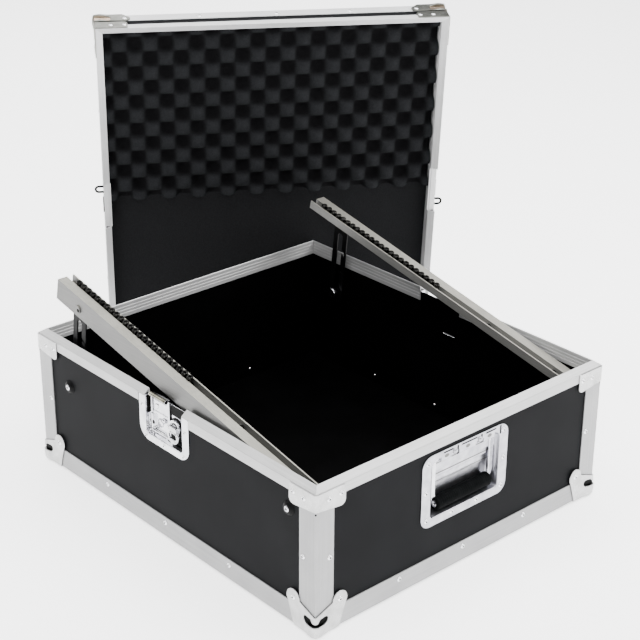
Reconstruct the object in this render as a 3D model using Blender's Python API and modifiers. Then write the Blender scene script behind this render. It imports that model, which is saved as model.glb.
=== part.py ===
"""A rackmount mixer flight case: panelled base, tilting rack rails, latches, handle and lift-off lid."""
import math

import bmesh
import bpy
from mathutils import Matrix, Vector

# Case envelope, over the aluminium; heights are above the floor of the bay
CASE_WIDTH = 0.530
CASE_DEPTH = 0.602
BASE_SHOULDER = 0.1957
LID_SHOULDER = 0.0468

# Sheet stock and running clearances
PLY = 0.0065
ALUMINIUM = 0.0015
SEAT_GAP = 0.0003
ANGLE_LEG = 0.030

# Rim extrusion
RIM_OUTER_LEG = 0.0135
RIM_INNER_LEG = 0.0225
RIM_RISE = 0.0068
GROOVE_HALF = 0.0006

# Ball corners and the pointed ends of the angles that run up to them
BALL_PROUD = 0.0045
BALL_REACH = 0.017
BALL_RADIUS = 0.012
BALL_SHEET = 0.0015
BALL_LOBE_RADIUS = 0.012
BALL_RIVET = 0.040
BALL_WINDOW = 0.0125
ANGLE_TIP = 0.022
ANGLE_TIP_SLOPE = 0.6

# Rim corner braces
BRACE_SHEET = 0.0012
BRACE_LENGTH = 0.047
BRACE_WING_HEIGHT = 0.0125
BRACE_HEIGHT = 0.0245
BRACE_BEND = 0.031

# Recessed handle on the front wall
HANDLE_WIDTH = 0.160
HANDLE_HEIGHT = 0.106
HANDLE_TOP_ROOM = 0.0057
HANDLE_CORNER = 0.015
HANDLE_SHEET = 0.0012
HANDLE_SIDE_FLANGE = 0.0165
HANDLE_TOP_FLANGE = 0.009
HANDLE_LOWER_FLANGE = 0.0125
HANDLE_DEPTH = 0.020
BAIL_ROD = 0.0025
BAIL_FOOT_ROOM = 0.0129
BAIL_ARM_WIDTH = 0.008
BAIL_ARM_SHEET = 0.003
GRIP_RADIUS = 0.0092
KNUCKLE_RADIUS = 0.0050
KNUCKLE_WIDTH = 0.024
KNUCKLE_PITCH = 0.036
BAIL_CLEARANCE = 0.0006

# Butterfly latches on the side walls
LATCH_CENTRE = 0.003
LATCH_WIDTH = 0.108
LATCH_BOTTOM = 0.1287
LATCH_CORNER = 0.020
LATCH_TOP_CORNER = 0.003
LATCH_SHEET = 0.0010
LATCH_TRAY_WIDTH = 0.080
LATCH_TRAY_FLANGE = 0.0105
LATCH_TRAY_DEPTH = 0.0101
LATCH_CAM_OFFSET = -0.016
LATCH_CAM_HEIGHT = 0.1655
LATCH_CAM_RADIUS = 0.011
LATCH_CAM_THICKNESS = 0.0035
LATCH_PIN_RADIUS = 0.0012
WING_BARREL = 0.0024
WING_LENGTH = 0.020
WING_WIDTH = 0.026
WING_SHEET = 0.0016
HOOK_WIDTH = 0.036
HOOK_OFFSET = 0.0145
HOOK_SHEET = 0.002
HOOK_BOTTOM = 0.1705
HOOK_LIP_RADIUS = 0.003
HOOK_TRAVEL = 0.008

# Tilting rack rails
RAIL_TILT = math.radians(12.0)
RAIL_PIVOT_SETBACK = 0.051
RAIL_PIVOT_HEIGHT = 0.1547
RAIL_WALL_GAP = 0.0062
RAIL_SHEET = 0.002
RAIL_TOP = 0.0235
RAIL_BOTTOM = -0.0085
RAIL_SHELF = 0.015
RAIL_GROOVE = 0.010
RAIL_GROOVE_DEPTH = 0.0108
RAIL_FRONT_REACH = 0.028
RAIL_REAR_ROOM = 0.023
STRIP_REAR_ROOM = 0.020
STRIP_LENGTH = 0.265
STRIP_THICKNESS = 0.0035
RACK_UNIT = 0.04445
SEATS_PER_UNIT = 4
SEAT_COUNT = 24
SEAT_MARGIN = 0.0047
SEAT_RADIUS = 0.0040
SEAT_RISE = 0.0035
PIVOT_SHANK = 0.0036
PIVOT_HEAD = 0.0085

# Slotted struts and their clamp
STRUT_STUD_REAR_ROOM = 0.053
STRUT_STUD_HEIGHT = 0.004
STRUT_STUD_RADIUS = 0.0032
STRUT_WIDTH = 0.030
STRUT_SHEET = 0.002
STRUT_SLOT = 0.011
SLOT_END_ROOM = 0.0025
STRUT_NOTCH_WIDTH = 0.0070
STRUT_NOTCH_DEPTH = 0.0065
STRUT_NOTCH_DROP = 0.006
STRUT_NOTCH_PITCH = 0.032
STRUT_FOOT = 0.012
CLAMP_LEAN = 0.0137
CLAMP_HEIGHT = 0.1352
CLAMP_SHANK = 0.0035
CLAMP_HEAD = 0.0080
CLAMP_COLLAR = 0.0060
KNOB_RADIUS = 0.0085
KNOB_THICKNESS = 0.009

# Lid: a tray like the base, standing on edge behind the rear right corner
LID_YAW = math.radians(-32.87)
LID_CORNER_SHIFT = 0.0723
LID_FOOT_GAP = 0.0040
LINING = 0.0105
FOAM_BUMP = 0.018
FOAM_PITCH = 0.050
FOAM_LOWER_EDGE = 0.007
FOAM_EDGE_GAP = 0.001
KEEPER_WIDTH = 0.070
KEEPER_HEIGHT = 0.0100
KEEPER_CATCH = 0.027
KEEPER_LIP = 0.003
KEEPER_SHEET = 0.0012
KEEPER_RING_OFFSET = 0.0255
KEEPER_RING_REACH = 0.0085
KEEPER_RING_RADIUS = 0.0048
KEEPER_WIRE = 0.0010
NOTCH_WIDTH = 0.077

# Places worked out from the driving sizes
SKIN = ALUMINIUM + SEAT_GAP
WALL = SKIN + PLY
SLOT_INNER = WALL + SEAT_GAP
RIM_INSET = SLOT_INNER + ALUMINIUM
SIDE_X = CASE_WIDTH / 2
END_Y = CASE_DEPTH / 2
HEEL = -PLY - SKIN
FLOOR = HEEL - BALL_PROUD
LATCH_GAP = LATCH_TRAY_WIDTH / 2 + LATCH_SHEET + SEAT_GAP
RAIL_WEB = SIDE_X - WALL - RAIL_WALL_GAP
RAIL_INNER = RAIL_SHELF + RAIL_GROOVE + RAIL_SHEET
STRUT_OUTER = RAIL_WEB - RAIL_SHEET - SEAT_GAP
STRUT_INNER = STRUT_OUTER - STRUT_SHEET
RAIL_PIVOT_Y = -END_Y + RAIL_PIVOT_SETBACK
RAIL_REAR = CASE_DEPTH - RAIL_PIVOT_SETBACK - RAIL_REAR_ROOM
STRIP_END = RAIL_REAR - STRIP_REAR_ROOM
STRIP_START = STRIP_END - STRIP_LENGTH
SEAT_PITCH = RACK_UNIT / SEATS_PER_UNIT
STRUT_STUD_ALONG = RAIL_REAR - STRUT_STUD_REAR_ROOM
HANDLE_BOTTOM = BASE_SHOULDER - RIM_OUTER_LEG - HANDLE_TOP_ROOM - HANDLE_HEIGHT
HANDLE_WINDOW = HANDLE_HEIGHT - HANDLE_TOP_FLANGE - HANDLE_LOWER_FLANGE
BAIL_DROP = HANDLE_WINDOW - KNUCKLE_RADIUS - BAIL_CLEARANCE - BAIL_FOOT_ROOM

# Axis frames for flat outlines: columns are the outline's two axes and its normal
FACE_X = Matrix(((0, 0, 1), (1, 0, 0), (0, 1, 0)))
FACE_Y = Matrix(((0, 1, 0), (0, 0, 1), (1, 0, 0)))
FACE_Z = Matrix.Identity(3)
FACE_FRONT = Matrix(((1, 0, 0), (0, 0, -1), (0, 1, 0)))

FINISHES = {
    "laminate": ((0.050, 0.050, 0.055), 0.55, 0.0),
    "extrusion": ((0.62, 0.62, 0.61), 0.38, 0.9),
    "pressed steel": ((0.70, 0.70, 0.70), 0.25, 1.0),
    "rail steel": ((0.52, 0.52, 0.50), 0.45, 0.6),
    "black steel": ((0.02, 0.02, 0.02), 0.45, 0.3),
    "rubber": ((0.012, 0.012, 0.014), 0.75, 0.0),
    "foam": ((0.010, 0.010, 0.011), 0.95, 0.0),
}


def clear_scene():
    """Remove whatever the scene holds."""
    for item in list(bpy.data.objects):
        bpy.data.objects.remove(item, do_unlink=True)


clear_scene()
PARTS = bpy.data.collections.new("mixer_flight_case")
CUTTERS = bpy.data.collections.new("cutters")
bpy.context.scene.collection.children.link(PARTS)
bpy.context.scene.collection.children.link(CUTTERS)


def finish_material(name, finish):
    """One Principled material for one node."""
    colour, roughness, metallic = FINISHES[finish]
    material = bpy.data.materials.new(name)
    material.use_nodes = True
    shader = material.node_tree.nodes["Principled BSDF"]
    shader.inputs["Base Color"].default_value = (*colour, 1.0)
    shader.inputs["Roughness"].default_value = roughness
    shader.inputs["Metallic"].default_value = metallic
    return material


def node(shape, name, finish):
    """Turn a scratch object into a named part with its own material."""
    shape.name = name
    shape.data.name = name
    shape.data.materials.clear()
    shape.data.materials.append(finish_material(name, finish))
    PARTS.objects.link(shape)
    return shape


def pivot(name, location, rotation=(0.0, 0.0, 0.0), parent=None):
    """An empty on a joint's axis."""
    empty = bpy.data.objects.new(name, None)
    empty.location = location
    empty.rotation_euler = rotation
    empty.empty_display_size = 0.02
    empty.parent = parent
    PARTS.objects.link(empty)
    return empty


def scratch(mesh, location=(0, 0, 0), turn=None, parent=None):
    """An object that isn't in a collection yet."""
    shape = bpy.data.objects.new(mesh.name, mesh)
    shape.location = location
    if turn is not None:
        shape.rotation_euler = turn.to_euler()
    shape.parent = parent
    return shape


def box(low, high, parent=None, turn=None, location=(0, 0, 0)):
    """A box between two corners."""
    low, high = Vector(low), Vector(high)
    bm = bmesh.new()
    bmesh.ops.create_cube(bm, size=1.0)
    bmesh.ops.scale(bm, vec=high - low, verts=bm.verts)
    bmesh.ops.translate(bm, vec=(low + high) / 2, verts=bm.verts)
    return finish_mesh(bm, "box", location, turn, parent)


def finish_mesh(bm, label, location=(0, 0, 0), turn=None, parent=None):
    """Write a bmesh to a new scratch object."""
    mesh = bpy.data.meshes.new(label)
    bm.to_mesh(mesh)
    bm.free()
    return scratch(mesh, location, turn, parent)


def rounded_corner(low, reach, radius, segments=4):
    """The corner of a rounded cube that starts at one equal coordinate, trimmed square at another."""
    size = reach - low + 2 * radius
    bm = bmesh.new()
    bmesh.ops.create_cube(bm, size=size)
    bmesh.ops.translate(bm, vec=Vector((1, 1, 1)) * (low + size / 2), verts=bm.verts)
    bmesh.ops.bevel(bm, geom=bm.edges[:], offset=radius, segments=segments, profile=0.5, affect="EDGES")
    for axis in range(3):
        normal = Vector((axis == 0, axis == 1, axis == 2))
        whole = bm.verts[:] + bm.edges[:] + bm.faces[:]
        trimmed = bmesh.ops.bisect_plane(bm, geom=whole, plane_co=normal * reach,
                                         plane_no=normal, clear_outer=True)
        outline = [item for item in trimmed["geom_cut"] if isinstance(item, bmesh.types.BMEdge)]
        bmesh.ops.edgeloop_fill(bm, edges=outline)
    bmesh.ops.recalc_face_normals(bm, faces=bm.faces)
    return finish_mesh(bm, "rounded_corner")


def prism(outlines, low, high, turn=FACE_Z, location=(0, 0, 0), parent=None):
    """A flat outline, with any holes, given thickness between two heights along its normal."""
    curve = bpy.data.curves.new("outline", "CURVE")
    curve.dimensions = "2D"
    curve.fill_mode = "BOTH"
    curve.extrude = (high - low) / 2
    for points in outlines:
        spline = curve.splines.new("POLY")
        spline.points.add(len(points) - 1)
        for point, place in zip(spline.points, points):
            point.co = (place[0], place[1], 0.0, 1.0)
        spline.use_cyclic_u = True
    guide = bpy.data.objects.new("outline", curve)
    CUTTERS.objects.link(guide)
    bpy.context.view_layer.update()
    solid = bpy.data.meshes.new_from_object(guide.evaluated_get(bpy.context.evaluated_depsgraph_get()))
    bpy.data.objects.remove(guide, do_unlink=True)
    bpy.data.curves.remove(curve)
    bm = bmesh.new()
    bm.from_mesh(solid)
    bpy.data.meshes.remove(solid)
    bmesh.ops.remove_doubles(bm, verts=bm.verts, dist=1e-6)
    bmesh.ops.translate(bm, vec=(0, 0, (low + high) / 2), verts=bm.verts)
    bmesh.ops.recalc_face_normals(bm, faces=bm.faces)
    return finish_mesh(bm, "prism", location, turn, parent)


def turned(profile, turn=FACE_Z, location=(0, 0, 0), parent=None, steps=20):
    """A profile of radius and height, listed from the top down, turned about the local Z axis."""
    mesh = bpy.data.meshes.new("turned")
    mesh.from_pydata([(radius, 0.0, height) for radius, height in profile],
                     [(index, index + 1) for index in range(len(profile) - 1)], [])
    shape = scratch(mesh, location, turn, parent)
    screw = shape.modifiers.new("turn", "SCREW")
    screw.steps = steps
    screw.render_steps = steps
    screw.use_merge_vertices = True
    screw.merge_threshold = 0.00001
    screw.use_smooth_shade = True
    return shape


def cylinder(radius, low, high, turn=FACE_Z, location=(0, 0, 0), parent=None, steps=16):
    """A plain round bar between two heights."""
    bm = bmesh.new()
    bmesh.ops.create_cone(bm, cap_ends=True, segments=steps, radius1=radius, radius2=radius, depth=high - low)
    bmesh.ops.translate(bm, vec=(0, 0, (low + high) / 2), verts=bm.verts)
    return finish_mesh(bm, "cylinder", location, turn, parent)


def combine(target, tool, operation):
    """Boolean a tool into a target and keep the tool as a hidden guide."""
    tool.hide_render = True
    tool.display_type = "WIRE"
    CUTTERS.objects.link(tool)
    step = target.modifiers.new(operation.lower(), "BOOLEAN")
    step.operation = operation
    step.solver = "EXACT"
    step.object = tool
    return target


def cut(target, *tools):
    """Cut tools out of a target."""
    for tool in tools:
        combine(target, tool, "DIFFERENCE")
    return target


def join(target, *tools):
    """Join tools to a target as one body."""
    for tool in tools:
        combine(target, tool, "UNION")
    return target


def arc(centre, radius, start, end, steps=4):
    """Points along an arc, angles in degrees."""
    angles = [math.radians(start + (end - start) * index / steps) for index in range(steps + 1)]
    return [(centre[0] + radius * math.cos(angle), centre[1] + radius * math.sin(angle)) for angle in angles]


def circle(centre, radius, steps=16):
    """Points round a full circle."""
    return arc(centre, radius, 0.0, 360.0 - 360.0 / steps, steps - 1)


def rounded_outline(low, high, radii, steps=4):
    """A rectangle whose corners have their own radii: lower left, lower right, upper right, upper left."""
    corners = (
        (low[0], low[1], 1, 1, 180.0),
        (high[0], low[1], -1, 1, 270.0),
        (high[0], high[1], -1, -1, 0.0),
        (low[0], high[1], 1, -1, 90.0),
    )
    points = []
    for (x, y, inward_x, inward_y, start), radius in zip(corners, radii):
        centre = (x + inward_x * radius, y + inward_y * radius)
        points += arc(centre, radius, start, start + 90.0, steps)
    return points


def capsule(start, end, radius, steps=6):
    """A long outline with two round ends."""
    direction = math.degrees(math.atan2(end[1] - start[1], end[0] - start[0]))
    return (arc(end, radius, direction - 90.0, direction + 90.0, steps)
            + arc(start, radius, direction + 90.0, direction + 270.0, steps))


def smooth(shape, angle=35.0):
    """Shade a round piece smooth with its hard edges kept."""
    shape.data.shade_smooth()
    shape.data.set_sharp_from_angle(angle=math.radians(angle))
    return shape


def side_frame(side, width, depth):
    """Basis and place of one side: columns inward, up and along, at the middle of its outer lower edge."""
    turns = {"front": 0, "right": 90, "rear": 180, "left": 270}
    reach = {"front": depth / 2, "right": width / 2, "rear": depth / 2, "left": width / 2}
    turn = Matrix.Rotation(math.radians(turns[side]), 3, "Z")
    place = turn @ Vector((0.0, -reach[side], 0.0))
    return turn @ FACE_X, place


def corner_frame(corner, width, depth):
    """Basis and place of one upright corner, with both outer faces towards the local negative axes."""
    turns = {"front_left": 0, "front_right": 90, "rear_right": 180, "rear_left": 270}
    angle = turns[corner]
    turn = Matrix.Rotation(math.radians(angle), 3, "Z")
    signs = {0: (-1, -1), 90: (1, -1), 180: (1, 1), 270: (-1, 1)}[angle]
    return turn, Vector((signs[0] * width / 2, signs[1] * depth / 2, 0.0))


def bar(profile, low_end, high_end, turn, place, parent=None):
    """A straight length of a profile; each end is a function of the profile point's two coordinates."""
    shape = prism([profile], -1.0, 1.0, turn, place, parent)
    for vertex in shape.data.vertices:
        inward, up, along = vertex.co
        vertex.co.z = high_end(inward, up) if along > 0 else low_end(inward, up)
    return shape


def rim_profile(shoulder, rise):
    """The sloped rim extrusion in section: outer leg, sloped bridge and inner leg with three grooves."""
    slope = rise / RIM_INSET
    bridge = ALUMINIUM * 1.15
    inner_top = shoulder + rise
    inner_low = inner_top - RIM_INNER_LEG
    points = [
        (0.0, shoulder - RIM_OUTER_LEG),
        (ALUMINIUM, shoulder - RIM_OUTER_LEG),
        (ALUMINIUM, shoulder + slope * ALUMINIUM - bridge),
        (SLOT_INNER, shoulder + slope * SLOT_INNER - bridge),
        (SLOT_INNER, inner_low),
        (RIM_INSET, inner_low),
    ]
    for share in (0.28, 0.5, 0.72):
        height = inner_low + share * RIM_INNER_LEG
        points += [(RIM_INSET, height - GROOVE_HALF), (RIM_INSET - GROOVE_HALF, height),
                   (RIM_INSET, height + GROOVE_HALF)]
    edge = ALUMINIUM * 0.6
    if rise > 0:
        points += [(RIM_INSET, inner_top - edge), (RIM_INSET - edge, inner_top)]
        points += [(edge / 2, shoulder + slope * edge / 2)]
    else:
        points += [(RIM_INSET, inner_top), (edge, shoulder + slope * edge)]
    return points + [(0.0, shoulder - edge / 2)]



def angle_profile(origin_up):
    """An equal angle in section, with its heel at the outer lower edge."""
    return [
        (0.0, origin_up), (ANGLE_LEG, origin_up), (ANGLE_LEG, origin_up + ALUMINIUM),
        (ALUMINIUM, origin_up + ALUMINIUM), (ALUMINIUM, origin_up + ANGLE_LEG), (0.0, origin_up + ANGLE_LEG),
    ]


def pointed(limit, sign, heel):
    """An end that reaches furthest at the heel, towards a ball corner."""
    return lambda inward, up: sign * (limit - ANGLE_TIP - ANGLE_TIP_SLOPE * max(inward, up - heel))


def mitred(limit, sign):
    """A 45 degree mitre with half the seat gap."""
    return lambda inward, up: sign * (limit - inward - SEAT_GAP / 2)


def square(place):
    """A square end."""
    return lambda inward, up: place


def build_base_panels():
    """The five boards of the base."""
    outer_x, outer_y = SIDE_X - SKIN, END_Y - SKIN
    inner_x, inner_y = outer_x - PLY, outer_y - PLY
    top = BASE_SHOULDER - ALUMINIUM
    floor_x, floor_y = inner_x - SEAT_GAP, inner_y - SEAT_GAP
    floor = box((-floor_x, -floor_y, -PLY), (floor_x, floor_y, 0.0))
    node(floor, "bottom_panel", "laminate")
    front = box((-outer_x, -outer_y, -PLY), (outer_x, -inner_y, top))
    pan_half = HANDLE_WIDTH / 2 - HANDLE_SIDE_FLANGE + HANDLE_SHEET + SEAT_GAP
    pan_low = HANDLE_BOTTOM + HANDLE_LOWER_FLANGE - HANDLE_SHEET - SEAT_GAP
    pan_high = HANDLE_BOTTOM + HANDLE_HEIGHT - HANDLE_TOP_FLANGE + HANDLE_SHEET + SEAT_GAP
    cut(front, box((-pan_half, -outer_y - PLY, pan_low), (pan_half, -inner_y + PLY, pan_high)))
    node(front, "front_panel", "laminate")
    node(box((-outer_x, inner_y, -PLY), (outer_x, outer_y, top)), "rear_panel", "laminate")
    for name, sign in (("left", -1), ("right", 1)):
        reach = inner_y - SEAT_GAP
        faces = sorted((sign * inner_x, sign * outer_x))
        board = box((faces[0], -reach, -PLY), (faces[1], reach, top))
        tray_low = LATCH_BOTTOM + LATCH_TRAY_FLANGE - LATCH_SHEET - SEAT_GAP
        cut(board,
            box((faces[0] - PLY, LATCH_CENTRE - LATCH_GAP, tray_low),
                (faces[1] + PLY, LATCH_CENTRE + LATCH_GAP, top + PLY)),
            cylinder(PIVOT_SHANK + SEAT_GAP, faces[0] - PLY, faces[1] + PLY, FACE_X,
                     (0, RAIL_PIVOT_Y, RAIL_PIVOT_HEIGHT)),
            cylinder(CLAMP_SHANK + SEAT_GAP, faces[0] - PLY, faces[1] + PLY, FACE_X,
                     (0, clamp_y(), CLAMP_HEIGHT)))
        node(board, name + "_panel", "laminate")


def build_base_angles():
    """The bottom edge angles and the upright corner angles."""
    for side, half in (("front", SIDE_X), ("right", END_Y), ("rear", SIDE_X), ("left", END_Y)):
        turn, place = side_frame(side, CASE_WIDTH, CASE_DEPTH)
        edge = bar(angle_profile(HEEL), pointed(half, -1, HEEL), pointed(half, 1, HEEL), turn, place)
        node(edge, "bottom_angle_" + side, "extrusion")
    top = BASE_SHOULDER - RIM_OUTER_LEG - SEAT_GAP
    for corner in ("front_left", "front_right", "rear_left", "rear_right"):
        turn, place = corner_frame(corner, CASE_WIDTH, CASE_DEPTH)
        upright = bar(angle_profile(0.0),
                      lambda first, second: HEEL + ANGLE_TIP + ANGLE_TIP_SLOPE * max(first, second),
                      square(top), turn, place)
        node(upright, "corner_angle_" + corner, "extrusion")


def build_base_rim():
    """Six lengths of rim, mitred at the corners and cut square at the latches."""
    profile = rim_profile(BASE_SHOULDER, RIM_RISE)
    for side in ("front", "rear"):
        turn, place = side_frame(side, CASE_WIDTH, CASE_DEPTH)
        node(bar(profile, mitred(SIDE_X, -1), mitred(SIDE_X, 1), turn, place), "rim_" + side, "extrusion")
    for side, sign in (("left", -1), ("right", 1)):
        turn, place = side_frame(side, CASE_WIDTH, CASE_DEPTH)
        middle = sign * LATCH_CENTRE
        before = bar(profile, mitred(END_Y, -1), square(middle - LATCH_GAP), turn, place)
        after = bar(profile, square(middle + LATCH_GAP), mitred(END_Y, 1), turn, place)
        flange = LATCH_WIDTH / 2 + SEAT_GAP
        ends = ("rear", "front") if sign < 0 else ("front", "rear")
        for shape, end in zip((before, after), ends):
            cut(shape, box((-PLY, BASE_SHOULDER - 2 * RIM_OUTER_LEG, middle - flange),
                           (ALUMINIUM + SEAT_GAP, BASE_SHOULDER - ALUMINIUM, middle + flange),
                           turn=turn, location=place))
            node(shape, "rim_%s_%s" % (side, end), "extrusion")


def ball_corner(name, turn, place, parent=None):
    """A pressed ball corner: a rounded cup with three lobes, open at the three edges."""
    pose = Matrix.Translation(place) @ turn.to_4x4()
    shell = rounded_corner(-BALL_PROUD, BALL_REACH, BALL_RADIUS)
    tools = []
    for basis in (FACE_Z, FACE_X, FACE_Y):
        lobe = prism([capsule((BALL_RIVET / 4, BALL_RIVET / 4), (BALL_RIVET, BALL_RIVET), BALL_LOBE_RADIUS)],
                     -SEAT_GAP - BALL_SHEET, SEAT_GAP, basis)
        join(shell, lobe)
        tools.append(lobe)
    hollow = rounded_corner(-BALL_PROUD + BALL_SHEET, BALL_REACH - BALL_SHEET, BALL_RADIUS - BALL_SHEET)
    inside = rounded_corner(-SEAT_GAP, BALL_RIVET * 2, BALL_RADIUS * 0.75)
    cut(shell, hollow, inside)
    tools += [hollow, inside]
    window = BALL_RADIUS - BALL_PROUD
    for axis in range(3):
        low = [-BALL_PROUD + BALL_SHEET] * 3
        high = [window] * 3
        low[axis] = BALL_WINDOW
        high[axis] = BALL_RIVET
        opening = box(low, high)
        cut(shell, opening)
        tools.append(opening)
    for tool in tools:
        tool.matrix_basis = pose @ tool.matrix_basis
        tool.parent = parent
    shell.matrix_basis = pose
    shell.parent = parent
    return node(smooth(shell), name, "pressed steel")


def build_ball_corners():
    """Ball corners under the base."""
    for corner in ("front_left", "front_right", "rear_left", "rear_right"):
        turn, place = corner_frame(corner, CASE_WIDTH, CASE_DEPTH)
        ball_corner("ball_corner_" + corner, turn, place + Vector((0, 0, HEEL)))


def build_rim_braces():
    """Bent braces over the corners of the rim."""
    top = BASE_SHOULDER - BRACE_SHEET / 2
    outer = SEAT_GAP + BRACE_SHEET
    outline = [
        (-outer, top - BRACE_HEIGHT), (BRACE_BEND - BRACE_WING_HEIGHT, top - BRACE_HEIGHT),
        (BRACE_BEND, top - BRACE_HEIGHT + BRACE_SHEET * 2),
        (BRACE_LENGTH - BRACE_SHEET * 2, top - BRACE_WING_HEIGHT),
        (BRACE_LENGTH, top - BRACE_WING_HEIGHT + BRACE_SHEET * 3), (BRACE_LENGTH, top - BRACE_SHEET * 2),
        (BRACE_LENGTH - BRACE_SHEET * 2, top), (-outer, top),
    ]
    for corner in ("front_left", "front_right", "rear_left", "rear_right"):
        turn, place = corner_frame(corner, CASE_WIDTH, CASE_DEPTH)
        wing = prism([outline], SEAT_GAP, outer, turn @ FACE_FRONT, place)
        other = prism([outline], -outer, -SEAT_GAP, turn @ FACE_X, place)
        node(join(wing, other), "rim_brace_" + corner, "extrusion")


def handle_axis():
    """Height and depth of the bail's axis."""
    height = HANDLE_BOTTOM + HANDLE_HEIGHT - HANDLE_TOP_FLANGE - KNUCKLE_RADIUS - BAIL_CLEARANCE
    face = END_Y - SKIN + SEAT_GAP + HANDLE_SHEET
    return Vector((0.0, -face + HANDLE_DEPTH / 2, height))


def build_handle():
    """Recessed handle: dish with knuckles, bail and grip."""
    seat = END_Y - SKIN + SEAT_GAP
    face = seat + HANDLE_SHEET
    low_x, high_x = -HANDLE_WIDTH / 2, HANDLE_WIDTH / 2
    low_z, high_z = HANDLE_BOTTOM, HANDLE_BOTTOM + HANDLE_HEIGHT
    outline = rounded_outline((low_x, low_z), (high_x, high_z), [HANDLE_CORNER] * 4)
    flange = prism([outline], seat, face, FACE_FRONT)
    pocket_low = Vector((low_x + HANDLE_SIDE_FLANGE, -face, low_z + HANDLE_LOWER_FLANGE))
    pocket_high = Vector((high_x - HANDLE_SIDE_FLANGE, -face + HANDLE_DEPTH, high_z - HANDLE_TOP_FLANGE))
    skin = Vector((HANDLE_SHEET,) * 3)
    pan_low = pocket_low - skin
    pan = box((pan_low.x, -face + HANDLE_SHEET / 2, pan_low.z), pocket_high + skin)
    join(flange, pan)
    cut(flange, box((pocket_low.x, -face - HANDLE_DEPTH, pocket_low.z), pocket_high))
    axis = handle_axis()
    for index in (-1, 0, 1):
        middle = index * KNUCKLE_PITCH
        low, high = middle - KNUCKLE_WIDTH / 2, middle + KNUCKLE_WIDTH / 2
        join(flange,
             cylinder(KNUCKLE_RADIUS, low, high, FACE_X, axis),
             box((low, axis.y, axis.z), (high, pocket_high.y + HANDLE_SHEET / 2, axis.z + KNUCKLE_RADIUS)))
    cut(flange, cylinder(BAIL_ROD + SEAT_GAP, low_x, high_x, FACE_X, axis))
    node(flange, "handle_dish", "pressed steel")

    swing = pivot("handle_axis", axis)
    arm_outer = HANDLE_WIDTH / 2 - HANDLE_SIDE_FLANGE - BAIL_CLEARANCE - BAIL_ARM_SHEET
    arm_inner = arm_outer - BAIL_ARM_SHEET
    bail = cylinder(BAIL_ROD, -arm_outer, arm_outer, FACE_X, parent=swing)
    for sign in (-1, 1):
        span = sorted((sign * arm_inner, sign * arm_outer))
        outline = capsule((0.0, 0.0), (0.0, -BAIL_DROP), BAIL_ARM_WIDTH / 2)
        arm = prism([outline], span[0], span[1], FACE_X, parent=swing)
        join(bail, arm)
    join(bail, cylinder(BAIL_ROD, -arm_outer + BAIL_ARM_SHEET / 2, arm_outer - BAIL_ARM_SHEET / 2, FACE_X,
                        (0.0, 0.0, -BAIL_DROP), swing))
    node(bail, "handle_bail", "pressed steel")
    half = arm_inner - SEAT_GAP
    bore = BAIL_ROD + SEAT_GAP
    grip = turned([(bore, half), (GRIP_RADIUS - 0.0015, half), (GRIP_RADIUS, half - 0.0015),
                   (GRIP_RADIUS, -half + 0.0015), (GRIP_RADIUS - 0.0015, -half), (bore, -half), (bore, half)],
                  FACE_X, (0.0, 0.0, -BAIL_DROP), swing)
    node(grip, "handle_grip", "rubber")


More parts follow.
